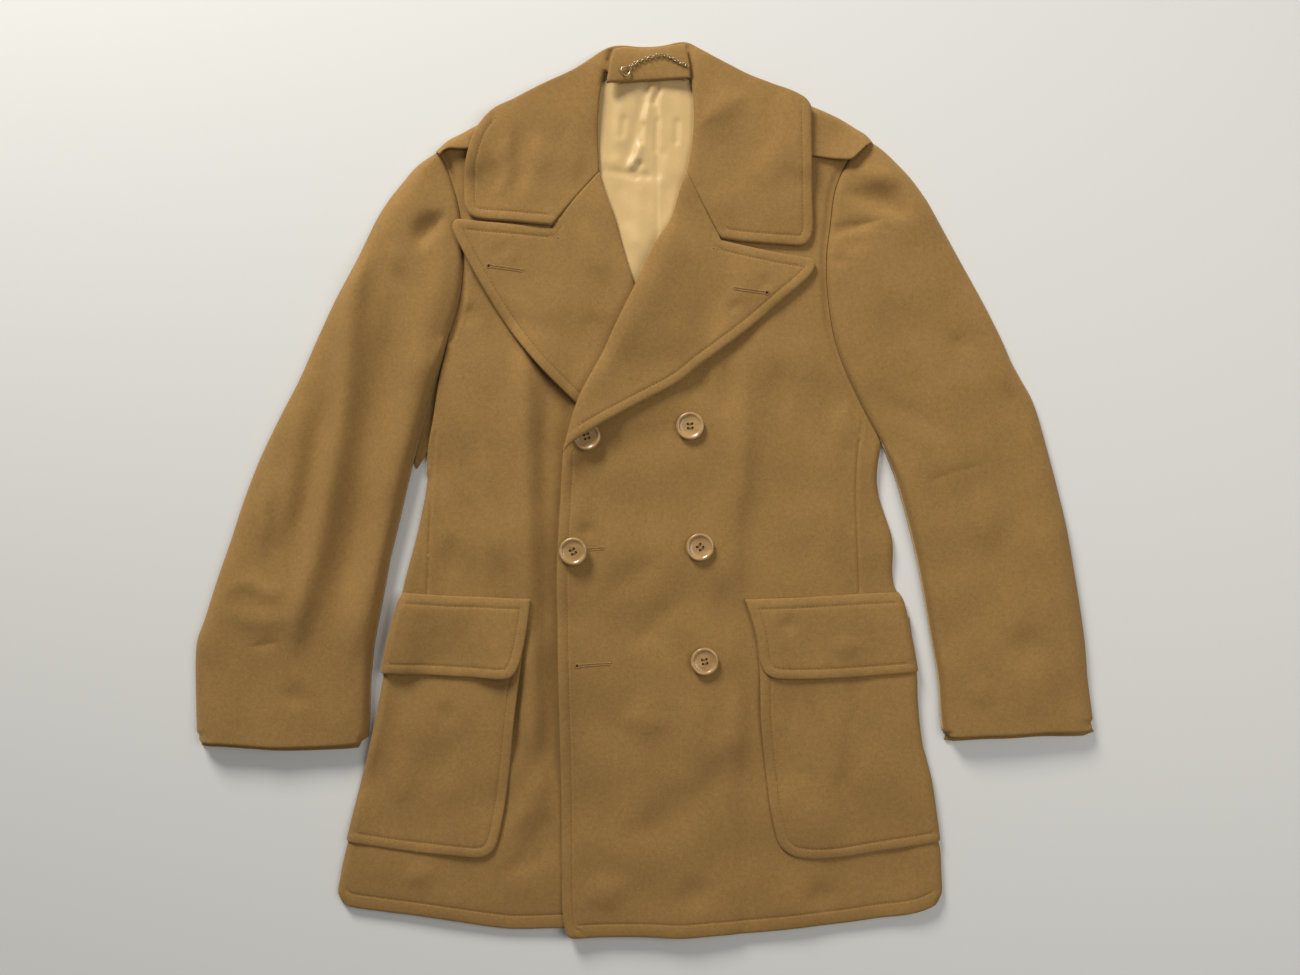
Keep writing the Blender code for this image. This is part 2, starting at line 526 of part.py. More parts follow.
def make_sleeve(side, outer, inner, cuff, armhole):
    """A top sleeve that arches over its flat under sleeve and meets the front at the armhole."""
    outer_line = [armhole[-1]] + [(x, y) for y, x in outer]
    inner_line = [(x, y) for y, x in inner]
    end = cuff if cuff[0] == outer_line[-1] else cuff[::-1]
    parts = [("fold", inner_line), ("seam", armhole), ("fold", outer_line), ("free", end)]
    make_flat("sleeve_%s_under" % side, parts, WOOL, {"seam": SEAM, "fold": UNDER_INSET, "free": 3.0}, "wool")
    line, kinds = inset_by_kind(parts, {"seam": SEAM})
    flat, triangles = cells(line, (2.4, 7.5, 15.0), SLEEVE_PITCH)
    fold = beside_edges(flat, line, kinds, "fold")
    seam = beside_edges(flat, line, kinds, "seam")
    span = distance(flat, through(outer_line, 20.0))
    across = span / np.maximum(span + distance(flat, through(inner_line + armhole, 20.0)), 1.0)
    crest = SLEEVE_TOP + SLEEVE_CROWN * 4.0 * across * (1.0 - across) + folds("sleeve_" + side, flat)
    top = RIM + (crest - RIM) * arc(fold / SLEEVE_ROUND)
    top = np.minimum(top, BODY_TOP + (crest - BODY_TOP) * smooth(seam / SLEEVE_HEAD))
    down = down_from(flat, triangles, top, (fold < SLEEVE_ROUND + 4.0).astype(float))
    solid("sleeve_%s_top" % side, flat, triangles, top, WOOL, "wool", down)
    pile_up("sleeve_%s_top" % side, flat, triangles, top)


def make_patch(name, parts, wall, finish, level=12.5, beside=()):
    """A piece that lies on the pile, with its upper edge eased round."""
    line, _ = inset_by_kind(parts, {"seam": SEAM})
    flat, triangles = cells(line, (2.5,), SMALL_PITCH)
    base = draped(flat, level, 30.0, beside) + GAP
    edge = distance(flat, line, True)
    thick = wall * (1.0 - 0.28 * (1.0 - smooth(edge / 2.5)))
    solid(name, flat, triangles, base + thick, thick[:, None], finish)
    pile_up(name, flat, triangles, base + thick)


def make_button(name, x, y):
    """A turned button with a raised rim and a dished middle."""
    turns = np.arange(0.0, 6.2, 0.5)
    ring = np.array([x, y]) + BUTTON_RADIUS * np.column_stack([np.cos(turns), np.sin(turns)])
    base = float(draped(ring, 3.0, 2.0).max()) + GAP
    r, h = BUTTON_RADIUS, BUTTON_HEIGHT
    profile = [
        # distance from the middle, height
        (0.0, 0.0), (0.66 * r, 0.0), (r, 0.5 * h), (0.96 * r, 0.92 * h), (0.87 * r, h),
        (0.7 * r, 0.68 * h), (0.0, 0.6 * h),
    ]
    sides, rows = 18, len(profile) - 2
    points = [(x, y, base)]
    for radius, height in profile[1:-1]:
        for k in range(sides):
            turn = 2 * math.pi * k / sides
            points.append((x + radius * math.cos(turn), y + radius * math.sin(turn), base + height))
    points.append((x, y, base + profile[-1][1]))
    faces = []
    for k in range(sides):
        ahead = (k + 1) % sides
        faces.append((0, 1 + ahead, 1 + k))
        for row in range(rows - 1):
            a, b = 1 + row * sides, 1 + (row + 1) * sides
            faces.append((a + k, a + ahead, b + ahead, b + k))
        last = 1 + (rows - 1) * sides
        faces.append((last + k, last + ahead, len(points) - 1))
    mesh = bpy.data.meshes.new(name)
    mesh.from_pydata([tuple(c * MM for c in p) for p in points], [], faces)
    mesh.shade_smooth()
    mesh.set_sharp_from_angle(angle=math.radians(40))
    place(name, mesh, "horn")
    around = np.array([p[:2] for p in points])
    fan = np.array([(0, 1 + sides + k, 1 + sides + (k + 1) % sides) for k in range(sides)])
    pile_up(name, around, fan, np.full(len(points), base + h))


def make_chain():
    """The hanger chain as one bent rod: an open ring, then the chain's run over the stand."""
    cx, cy, radius = CHAIN_RING
    turns = np.radians(np.linspace(80.0, 395.0, 12))
    ring = np.column_stack([cx + radius * np.cos(turns), cy + radius * np.sin(turns)])
    run = np.vstack([ring, through(CHAIN, 6.0)])
    height = draped(run, 4.0, 10.0) + GAP + CHAIN_RADIUS + 0.3
    curve = bpy.data.curves.new("hanger_chain", "CURVE")
    curve.dimensions = "3D"
    curve.bevel_depth = CHAIN_RADIUS * MM
    curve.bevel_resolution = 1
    curve.use_fill_caps = True
    spline = curve.splines.new("POLY")
    spline.points.add(len(run) - 1)
    for point, (x, y), z in zip(spline.points, run, height):
        point.co = (x * MM, y * MM, z * MM, 1.0)
    place("hanger_chain", curve, "metal")


def main():
    for thing in list(bpy.data.objects):
        bpy.data.objects.remove(thing)
    hidden = {"seam": SEAM, "fold": UNDER_INSET}
    make_flat("back", BACK, WOOL, hidden, "wool")
    make_patch("lining_back", LINING_BACK, SATIN, "satin")
    make_front("front_left", FRONT_LEFT)
    make_sleeve("left", SLEEVE_LEFT, INNER_LEFT, CUFF_LEFT, ARMHOLE_LEFT)
    make_patch("lapel_left", LAPEL_LEFT, LAPEL, "wool")
    make_front("front_right", FRONT_RIGHT)
    make_sleeve("right", SLEEVE_RIGHT, INNER_RIGHT, CUFF_RIGHT, ARMHOLE_RIGHT)
    make_button(*BUTTONS[0])
    make_patch("lapel_right", LAPEL_RIGHT, LAPEL, "wool")
    make_patch("strap_left", STRAP_LEFT, STRAP, "wool")
    make_patch("strap_right", STRAP_RIGHT, STRAP, "wool")
    make_patch("collar", COLLAR, LAPEL, "wool", 16.0, ("lapel_left", "lapel_right"))
    make_patch("collar_stand", COLLAR_STAND, WOOL, "wool")
    make_patch("pocket_left", POCKET_LEFT, WOOL, "wool")
    make_patch("pocket_right", POCKET_RIGHT, WOOL, "wool")
    make_patch("flap_left", FLAP_LEFT, STRAP, "wool", 18.0)
    make_patch("flap_right", FLAP_RIGHT, STRAP, "wool", 18.0)
    for row in BUTTONS[1:]:
        make_button(*row)
    make_chain()


main()
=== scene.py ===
# %% [markdown]
# # A short greatcoat, laid flat
# The coat lies on its back with its arms beside it, and is seen from straight above. This file dresses
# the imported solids: every piece of cloth is cut again with a fine mesh on the same outline, laid on the
# pieces below it, and given its folds, rounded edges, stitching and woollen surface.

# %% The frame and the units
import math

import bpy
import numpy as np
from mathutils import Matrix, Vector
from mathutils.geometry import delaunay_2d_cdt


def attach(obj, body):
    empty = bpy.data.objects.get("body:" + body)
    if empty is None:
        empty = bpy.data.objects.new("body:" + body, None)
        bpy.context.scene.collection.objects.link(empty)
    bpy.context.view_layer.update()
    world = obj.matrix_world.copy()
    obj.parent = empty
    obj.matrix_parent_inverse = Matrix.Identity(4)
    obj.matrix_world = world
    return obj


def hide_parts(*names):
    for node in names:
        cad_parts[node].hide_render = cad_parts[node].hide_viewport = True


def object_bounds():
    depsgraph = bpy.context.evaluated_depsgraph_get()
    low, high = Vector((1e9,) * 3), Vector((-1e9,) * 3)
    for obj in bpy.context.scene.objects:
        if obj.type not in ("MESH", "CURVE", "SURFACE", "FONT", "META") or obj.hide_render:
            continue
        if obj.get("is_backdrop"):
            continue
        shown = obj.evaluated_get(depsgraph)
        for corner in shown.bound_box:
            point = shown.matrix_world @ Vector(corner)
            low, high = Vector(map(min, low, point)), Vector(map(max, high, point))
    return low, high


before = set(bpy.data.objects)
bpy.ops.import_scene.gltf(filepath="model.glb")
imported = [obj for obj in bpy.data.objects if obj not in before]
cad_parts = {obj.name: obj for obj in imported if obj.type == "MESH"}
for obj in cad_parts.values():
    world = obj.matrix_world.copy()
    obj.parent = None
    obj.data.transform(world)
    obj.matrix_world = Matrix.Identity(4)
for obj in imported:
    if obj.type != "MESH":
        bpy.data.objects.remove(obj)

MM = 0.001  # the tables below are in millimetres
cad_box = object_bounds()
print("solids' box", [[round(v, 4) for v in corner] for corner in cad_box])


def placed(name, data):
    """A new object in the scene."""
    thing = bpy.data.objects.new(name, data)
    bpy.context.scene.collection.objects.link(thing)
    return thing


def belongs(thing, node=None):
    """Hang a shape on the root body, and hide the solid it stands for, if any."""
    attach(thing, "root")
    if node:
        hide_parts(node)


# %% [markdown]
# ## Sizes that the whole coat shares
# Heavy milled wool is about 2.5 mm thick. Lapels and collar are two layers with canvas between them, so
# they are thicker, and the pockets are pressed flat. The topstitching runs a finger's width inside the
# edges, which makes them swell.

# %% Shared sizes
GAP = 0.3
SEAM = 0.15
WOOL = 2.5
LAPEL = 2.7
STRAP = 2.0
FLAP = 1.5
PATCH = 1.1
SATIN = 1.0
BODY_TOP = 8.0
BODY_ROUND = 8.0
SLEEVE_TOP = 14.5
SLEEVE_ROUND = 22.0
SLEEVE_TURN = 7.0
SLEEVE_HEAD = 44.0
SLEEVE_CROWN = 2.0
VALLEY = 3.4  # how far the armhole seam is pressed in
VALLEY_REACH = 9.0  # and how far from it the front rises again
HEAD_ROLL = 6.0  # how far from it the sleeve's head is rounded
RIM = 1.2
UNDER_INSET = 5.2
STITCH_IN = 10.0  # the topstitching's distance from an edge
HEM_IN = 14.0  # and from the hem
BUTTON_RADIUS = 14.0
BUTTON_HEIGHT = 4.6

# %% [markdown]
# ## Lines and outlines
# A pattern cutter draws a piece with a few points and soft curves between them. `through` draws such a
# curve, and `trace` joins several of them into a closed outline that remembers what each edge is: a fold,
# a seam, a stitched edge, a rolled edge or a plain end.

# %% Curves through points
def smooth(t):
    t = np.clip(t, 0.0, 1.0)
    return t * t * (3.0 - 2.0 * t)


def arc(t):
    """A quarter circle from 0 to 1, upright at its start."""
    return np.sqrt(np.clip(1.0 - (1.0 - np.clip(t, 0.0, 1.0)) ** 2, 0.0, 1.0))


def bell(away, width):
    """A soft bump, 1 in the middle."""
    return np.exp(-((away / width) ** 2))


def through(points, step):
    """A soft line through the points, with a point about every step."""
    p = np.array(points, float)
    if len(p) == 2:
        count = max(1, round(float(np.linalg.norm(p[1] - p[0])) / step))
        return p[0] + (p[1] - p[0]) * np.linspace(0.0, 1.0, count + 1)[:, None]
    ends = np.vstack([2 * p[0] - p[1], p, 2 * p[-1] - p[-2]])
    line = [p[:1]]
    for a, b, c, d in zip(ends, ends[1:], ends[2:], ends[3:]):
        near = np.linalg.norm(c - b)
        count = max(1, round(float(near) / step))
        t = np.linspace(0.0, 1.0, count + 1)[1:, None]
        m0 = (c - a) * near / (near + np.linalg.norm(b - a))
        m1 = (d - b) * near / (near + np.linalg.norm(d - c))
        start = (2 * t**3 - 3 * t**2 + 1) * b + (t**3 - 2 * t**2 + t) * m0
        line.append(start + (3 * t**2 - 2 * t**3) * c + (t**3 - t**2) * m1)
    return np.vstack(line)


def trace(parts, step):
    """A closed outline, anticlockwise, and the kind of edge that leaves each of its points."""
    line, kinds = [], []
    for kind, points in parts:
        for point in through(points, step)[:-1]:
            line.append(point)
            kinds.append(kind)
    line = np.array(line)
    x, y = line[:, 0], line[:, 1]
    if np.sum(x * np.roll(y, -1) - np.roll(x, -1) * y) < 0:
        line = line[::-1]
        kinds = kinds[::-1]
        kinds = kinds[1:] + kinds[:1]
    return line, kinds


# %% Distances and offsets
def distance(points, line, closed=False):
    """The distance from each point to a line of points."""
    a = np.asarray(line, float)
    b = np.roll(a, -1, axis=0) if closed else a[1:]
    a = a if closed else a[:-1]
    best = np.full(len(points), 1e9)
    for start, end in zip(a, b):
        way = end - start
        t = np.clip(((points - start) @ way) / max(float(way @ way), 1e-9), 0.0, 1.0)
        best = np.minimum(best, np.linalg.norm(points - start - t[:, None] * way, axis=1))
    return best


def inside(points, line):
    """True for each point within a closed line."""
    found = np.zeros(len(points), bool)
    for (x0, y0), (x1, y1) in zip(line, np.roll(line, -1, axis=0)):
        if y0 == y1:
            continue
        crosses = (points[:, 1] < y0) != (points[:, 1] < y1)
        found ^= crosses & (points[:, 0] < x0 + (points[:, 1] - y0) * (x1 - x0) / (y1 - y0))
    return found


def moved_in(line, amounts):
    """A closed line with each point moved into it by its own amount."""
    back = line - np.roll(line, 1, axis=0)
    ahead = np.roll(line, -1, axis=0) - line
    back /= np.linalg.norm(back, axis=1)[:, None]
    ahead /= np.linalg.norm(ahead, axis=1)[:, None]
    way = back + ahead
    way /= np.maximum(np.linalg.norm(way, axis=1), 1e-6)[:, None]
    inward = np.column_stack([-way[:, 1], way[:, 0]])
    bend = np.clip(np.sum(way * ahead, axis=1), 0.6, 1.0)
    return line + inward * (np.asarray(amounts, float) / bend)[:, None]


# %% [markdown]
# ## Cutting a piece
# A piece is a net of triangles over its outline: rows of points beside the edges, where the cloth is
# rounded and stitched, rows beside its seams and creases, and an even field between them. A Delaunay
# triangulation joins them, so any outline works, notches and round corners included.

# %% The net of a piece
RINGS = (0.7, 1.8, 3.4, 5.4, 7.6, 9.1, 10.0, 10.9, 12.6, 15.2)


def cut(parts, step=4.0, rings=RINGS, pitch=6.0, creases=(), insets=None):
    """Cut a piece: its outline, the kinds of its edges, its flat points and its triangles."""
    line, kinds = trace(parts, step)
    own = np.array([(insets or {"seam": SEAM}).get(k, 0.0) for k in kinds])
    line = moved_in(line, np.maximum(own, np.roll(own, 1)))
    points, last = [line], max(rings, default=0.0)
    for ring in rings:
        row = moved_in(line, np.full(len(line), ring))
        row = row[inside(row, line)]
        points.append(row[distance(row, line, True) > 0.93 * ring])
    low, high = line.min(0), line.max(0)
    rows = []
    for k, y in enumerate(np.arange(low[1], high[1], pitch * math.sqrt(3) / 2)):
        x = np.arange(low[0] + (k % 2) * pitch / 2, high[0], pitch)
        rows.append(np.column_stack([x, np.full(len(x), y)]))
    grid = np.vstack(rows)
    grid = grid[inside(grid, line)]
    grid = grid[distance(grid, line, True) > last + 0.45 * pitch]
    for crease in creases:
        run = through(crease, 4.0)
        grid = grid[distance(grid, run) > 4.5 + 0.4 * pitch]
        way = np.gradient(run, axis=0)
        side = np.column_stack([-way[:, 1], way[:, 0]]) / np.linalg.norm(way, axis=1)[:, None]
        beside = np.vstack([run + side * away for away in (-4.5, -2.2, -0.9, 0.0, 0.9, 2.2, 4.5)])
        beside = beside[inside(beside, line)]
        points.append(beside[distance(beside, line, True) > last + 1.0])
    points.append(grid)
    edges = [(k, (k + 1) % len(line)) for k in range(len(line))]
    made = delaunay_2d_cdt([Vector(p) for p in np.vstack(points)], edges, [], 1, 1e-4)
    flat = np.array([tuple(v) for v in made[0]])
    triangles = np.array([tuple(f) for f in made[2]])
    a, b, c = (flat[triangles[:, k]] for k in range(3))
    turned = (b[:, 0] - a[:, 0]) * (c[:, 1] - a[:, 1]) < (b[:, 1] - a[:, 1]) * (c[:, 0] - a[:, 0])
    triangles[turned] = triangles[turned][:, ::-1]
    triangles = triangles[inside((a + b + c) / 3, line)]
    return {"line": line, "kinds": kinds, "flat": flat, "triangles": triangles}


def beside(piece, points, *kinds):
    """The distance from points to a piece's edges of some kinds."""
    ahead = np.roll(piece["line"], -1, axis=0)
    best = np.full(len(points), 1e9)
    for k, kind in enumerate(piece["kinds"]):
        if kind in kinds:
            best = np.minimum(best, distance(points, np.array([piece["line"][k], ahead[k]])))
    return best


# %% [markdown]
# ## The pile
# The pieces lie on each other. A map of the pile keeps each piece's upper surface, and a new piece asks
# the map how high it has to lie. Thick cloth can't follow a step at once, so the step is kept level for a
# short way and then eased down.

# %% A map of the pile
CELL = 2.5
HALF = 490.0
AXIS = np.arange(-HALF, HALF + CELL / 2, CELL)
PLACES = np.stack(np.meshgrid(AXIS, AXIS, indexing="ij"), axis=-1)
LAID = {}


def lay(name, piece, height):
    """Add a piece's upper surface to the pile."""
    low = np.maximum(((piece["line"].min(0) + HALF) / CELL).astype(int), 0)
    high = ((piece["line"].max(0) + HALF) / CELL).astype(int) + 2
    window = (slice(low[0], high[0]), slice(low[1], high[1]))
    spots = PLACES[window].reshape(-1, 2)
    within = inside(spots, piece["line"])
    heights = np.zeros(len(spots))
    heights[within] = height(spots[within])
    layer = LAID[name] = np.zeros(PLACES.shape[:2])
    layer[window] = heights.reshape(layer[window].shape)


def eased(field, cells):
    """A map blurred a little, so that its steps become soft."""
    weights = np.exp(-0.5 * (np.arange(-2 * cells, 2 * cells + 1) / cells) ** 2)
    weights /= weights.sum()
    for axis in (0, 1):
        parts = [w * np.roll(field, k - 2 * cells, axis) for k, w in enumerate(weights)]
        field = np.sum(parts, axis=0)
    return field


def drape(level, fade, beside=(), drop=8.0, blur=2):
    """The height of the pile, as a function of place, kept level past each step and eased down."""
    pile = np.max([layer for name, layer in LAID.items() if name not in beside], axis=0)
    grown = pile.copy()
    reach = int((level + fade) / CELL)
    for i in range(-reach, reach + 1):
        for j in range(-reach, reach + 1):
            far = math.hypot(i, j) * CELL
            if far <= level + fade:
                loss = drop * float(smooth((far - level) / fade))
                np.maximum(grown, np.roll(pile, (i, j), (0, 1)) - loss, out=grown)
    grown = eased(grown, blur)

    def height(points):
        u = np.clip((points[:, 0] + HALF) / CELL, 0, len(AXIS) - 2)
        v = np.clip((points[:, 1] + HALF) / CELL, 0, len(AXIS) - 2)
        i, j = u.astype(int), v.astype(int)
        u, v = u - i, v - j
        low = grown[i, j] * (1 - v) + grown[i, j + 1] * v
        high = grown[i + 1, j] * (1 - v) + grown[i + 1, j + 1] * v
        return low * (1 - u) + high * u

    return height


# %% [markdown]
# ## Folds and creases
# Soft folds are listed one row each: the fold's line, half its width and its height.
# A trough is below zero. They are uneven in length and spacing, as on cloth that was put down and
# smoothed with a hand.

# %% Table of folds
FOLDS = {
    # piece: rows of line, half width, height
    "sleeve_left": [
        ([(-272, 268), (-288, 200), (-295, 140), (-299, 80), (-312, 0), (-325, -60), (-338, -105),
          (-352, -175)], 13, 5.2),
        ([(-247, 215), (-258, 140), (-268, 80), (-280, 0), (-292, -60), (-305, -110),
          (-316, -165)], 18, -3.2),
        ([(-203, 275), (-200, 235), (-203, 200), (-213, 160), (-223, 120), (-233, 80), (-243, 45),
          (-255, 0), (-263, -40), (-272, -80), (-284, -130), (-300, -200)], 15, 3.4),
        ([(-195, 280), (-220, 258), (-228, 232)], 11, -4.6),
        ([(-256, 252), (-241, 208)], 6, 1.4),
        ([(-316, 104), (-335, 0), (-348, -60)], 9, -2),
        ([(-338, 104), (-355, 0), (-366, -70)], 10, 2.4),
        ([(-368, 30), (-378, -30), (-381, -80)], 10, 3.2),
        ([(-425, -108), (-398, -94), (-372, -104), (-348, -94)], 8, 1.2),
        ([(-430, -122), (-385, -131), (-340, -128)], 11, 1.1),
        ([(-398, -158), (-380, -156), (-362, -151)], 4.5, -0.6),
        ([(-345, -190), (-352, -226)], 16, -1.2),
    ],
    "sleeve_right": [
        ([(205, 318), (240, 312), (262, 296)], 11, 2.2),
        ([(190, 300), (235, 289), (272, 268)], 13, -4),
        ([(170, 254), (205, 262), (244, 271)], 6.5, -2.4),
        ([(195, 245), (228, 246)], 8, -1.5),
        ([(184, 231), (206, 228)], 5.5, -1.2),
        ([(235, 92), (270, 72), (305, 46)], 14, -1.6),
        ([(275, 3), (305, 15), (345, 26)], 4.5, -0.35),
        ([(345, 110), (372, 84), (384, 40)], 12, -1.4),
        ([(338, 10), (346, -70)], 14, 1.2),
        ([(300, 150), (332, 142)], 12, -1),
        ([(376, -130), (384, -190)], 14, -1.2),
        ([(330, -180), (338, -226)], 16, 1),
    ],
    "front_left": [
        ([(-121, 165), (-119, 0), (-117, -104), (-114, -170), (-112, -300)], 13, 5),
        ([(-88, 165), (-87, 0), (-87, -110), (-86, -320)], 14, -3.6),
        ([(-168, 60), (-150, -20), (-141, -95)], 9, 1.6),
        ([(-185, 20), (-169, -60), (-166, -98)], 9, -1.2),
        ([(-192, -40), (-196, -100)], 11, -1.5),
        ([(-96, -262), (-113, -312), (-142, -354)], 15, 2.4),
        ([(-90, -318), (-112, -366), (-150, -396)], 14, -2.2),
        ([(-206, -384), (-246, -392)], 14, 1.2),
        ([(-170, 190), (-182, 160)], 10, -1.4),
    ],
    "front_right": [
        ([(84, 136), (83, 70)], 9, -1.8),
        ([(101, 128), (98, 30), (91, -60)], 12, 2.2),
        ([(80, -84), (82, -166)], 13, -1.3),
        ([(96, -176), (93, -230), (95, -300)], 13, 2),
        ([(76, -205), (67, -273)], 14, -1),
        ([(-56, 24), (-66, -30), (-62, -104)], 15, 2),
        ([(-70, -40), (-44, -45)], 6, -1.4),
        ([(-58, -126), (-30, -100), (5, -78), (30, -60)], 15, -1.1),
        ([(-18, -166), (14, -132), (46, -104)], 15, -1.2),
        ([(86, -255), (62, -300), (12, -336), (-42, -354)], 20, -1.5),
        ([(-30, -230), (30, -236)], 24, 1.6),
        ([(136, 140), (140, 66)], 16, -1.4),
        ([(168, 70), (184, 0), (196, -80)], 13, 2),
        ([(206, 96), (196, 30)], 11, 1.4),
        ([(-48, -380), (-28, -430)], 22, 1.6),
        ([(40, -384), (60, -430)], 20, -1.4),
        ([(170, -390), (186, -432)], 18, -1.6),
    ],
    "lapel_left": [
        ([(-150, 205), (-96, 150), (-60, 120)], 22, 1.4),
        ([(-66, 276), (-48, 232), (-34, 196)], 13, 1.5),
        ([(-158, 226), (-142, 240), (-124, 244)], 6, -0.5),
        ([(-60, 180), (-40, 140)], 12, -0.9),
    ],
    "lapel_right": [
        ([(40, 290), (26, 246), (0, 192), (-30, 134), (-54, 88)], 19, 1.9),
        ([(96, 216), (84, 168), (62, 140)], 15, 1.6),
        ([(84, 190), (98, 176)], 7, -1.2),
        ([(112, 214), (130, 200)], 8, -1),
    ],
    "collar": [
        ([(-128, 366), (-124, 322), (-132, 284)], 10, -1.5),
        ([(-140, 362), (-136, 322), (-146, 290)], 11, 1.3),
        ([(-106, 362), (-102, 306)], 10, 0.9),
        ([(-152, 330), (-150, 296)], 8, -1),
        ([(-72, 372), (-70, 300)], 14, 1.2),
        ([(50, 360), (80, 384), (112, 398)], 13, 1.5),
        ([(62, 318), (72, 294)], 9, -1.2),
        ([(120, 350), (128, 290)], 16, 1.2),
    ],
    "pocket_left": [
        ([(-190, -206), (-206, -246)], 16, -0.9),
        ([(-236, -250), (-248, -330)], 16, 1.2),
        ([(-180, -250), (-200, -330)], 16, 0.9),
    ],
    "pocket_right": [
        ([(176, -200), (192, -262), (180, -320)], 14, 1.4),
        ([(150, -220), (160, -300)], 13, -1),
        ([(216, -210), (208, -300)], 14, -1.2),
    ],
    "flap_left": [
        ([(-210, -130), (-230, -134)], 12, -1),
        ([(-150, -140), (-152, -176)], 12, 0.8),
    ],
    "flap_right": [
        ([(130, -134), (160, -140)], 12, -1.1),
        ([(200, -140), (206, -176)], 16, 1),
    ],
}


UNEVEN = 0.5
DEPTH = 1.9  # the table's heights times this


def fold_rise(name, points):
    """How much a piece's folds, and the slight waves that any pressed cloth keeps, lift each point."""
    chance = np.random.default_rng(sum(ord(letter) for letter in name))
    rise = np.zeros(len(points))
    for length in (58.0, 74.0, 92.0, 118.0, 156.0):
        turn, phase = chance.uniform(0.0, 2 * math.pi, 2)
        way = np.array([math.cos(turn), math.sin(turn)]) * 2 * math.pi / length
        rise += UNEVEN * length / 100.0 * np.sin(points @ way + phase)
    for line, width, height in FOLDS.get(name, ()):
        off = distance(points, through(line, 6.0))
        end = np.minimum(*(np.linalg.norm(points - np.array(line[at]), axis=1) for at in (0, -1)))
        fade = min(5.0 * width, 0.4 * math.dist(line[0], line[-1]))
        rise += DEPTH * height * bell(off, width) * smooth((end - off) / fade)
    return rise


# %% [markdown]
# Stiff, thick edges don't quite touch what they lie on. The lapels, the collar's leaves, the flaps and the
# straps stand off a little along some of their edges, which draws a dark line beneath them.

# %% Edges that stand off
LIFTS = {
    # piece: rows of the edge's line, how far in it eases, height
    "lapel_right": [
        ([(-80, 38), (-70, 47), (-48, 61), (-4, 85), (34, 107)], 16, 1),
        ([(34, 107), (101, 158), (164, 212)], 12, 0.7),
    ],
    "lapel_left": [
        ([(-190, 262), (-163, 204), (-106, 124), (-67, 84)], 12, 0.5),
    ],
    "collar": [
        ([(-93, 265), (-134, 269), (-176, 275)], 12, 1.2),
        ([(167, 376), (168, 287), (168, 258), (160, 246)], 14, 0.4),
        ([(160, 246), (101, 248), (77, 252)], 12, 0.8),
    ],
    "strap_left": [
        ([(-178, 341), (-196, 340), (-204, 334)], 10, 3.4),
    ],
    "strap_right": [
        ([(150, 338), (171, 334), (201, 329), (214, 335), (231, 348)], 9, 0.4),
    ],
    "flap_left": [
        ([(-129, -183), (-166, -189), (-240, -185)], 12, 0.5),
    ],
    "flap_right": [
        ([(124, -186), (191, -190), (250, -186)], 12, 0.5),
    ],
}


def stand_off(name, points):
    """How far a piece's edges stand off what they lie on."""
    rise = np.zeros(len(points))
    for line, width, height in LIFTS.get(name, ()):
        rise = np.maximum(rise, height * bell(distance(points, through(line, 6.0)), width))
    return rise


# %% [markdown]
# ## Edges
# A turned and stitched edge is the coat's signature: the cloth is rolled to the inside, and a row of
# stitches a finger's width in holds it down, so the band outside the stitches swells and the stitches
# sink. A roll line is thicker and rounder, and a seam is a narrow valley.

# %% Profile of an edge
EDGES = {
    # kind: how far in it is rounded, and by how much of the wall
    "edge": (2.8, 0.55),
    "hem": (2.8, 0.55),
    "free": (2.0, 0.4),
    "roll": (9.0, 0.8),
    "seam": (2.6, 0.34),
}
SWELL = 0.32
GROOVE = 0.7
GROOVE_WIDTH = 0.9


def rounding(piece, points, wall):
    """How far the surface falls towards the piece's edges."""
    fall = np.zeros(len(points))
    for kind, (reach, share) in EDGES.items():
        if kind in piece["kinds"]:
            away = beside(piece, points, kind)
            fall = np.maximum(fall, share * wall * (1.0 - arc(away / reach)))
    return fall


def sewn(piece, points, kind="edge", inset=STITCH_IN):
    """The swell outside a row of topstitching, and the groove that it sinks into."""
    if kind not in piece["kinds"]:
        return np.zeros(len(points))
    away = beside(piece, points, kind)
    swell = SWELL * bell(away - 0.5 * inset, 0.26 * inset)
    return swell - GROOVE * bell(away - inset, GROOVE_WIDTH)


def stitch_run(piece, kind, inset):
    """The lines that the topstitching follows inside edges of one kind."""
    along = moved_in(piece["line"], np.full(len(piece["line"]), inset))
    marks = [k == kind for k in piece["kinds"]]
    keep = np.array(marks) | np.roll(marks, 1)
    keep &= distance(along, piece["line"], True) > 0.93 * inset
    start = int(np.argmin(keep))
    order = np.roll(np.arange(len(keep)), -start)
    runs, run = [], []
    for k in order:
        if keep[k]:
            run.append(along[k])
        elif run:
            runs.append(np.array(run))
            run = []
    if run:
        runs.append(np.array(run))
    return [r for r in runs if len(r) > 3]


# %% [markdown]
# ## From a net to cloth
# The net gets its heights, and the same net moved down through the cloth closes it into a thin wall. On a
# folded side the wall turns down to the floor, so there it is moved square to the surface.

# %% A wall of cloth
STITCHES = []
THINNEST = 0.25
ABOVE_FLOOR = 0.05


def down_from(flat, triangles, top, near_fold):
    """The way through the cloth: straight down, but square to the surface beside a fold."""
    points = np.column_stack([flat, top])
    a, b, c = (points[triangles[:, k]] for k in range(3))
    faces = np.cross(b - a, c - a)
    normals = np.zeros_like(points)
    for k in range(3):
        np.add.at(normals, triangles[:, k], faces)
    normals[:, :2] *= near_fold[:, None]
    return -normals / np.linalg.norm(normals, axis=1)[:, None]


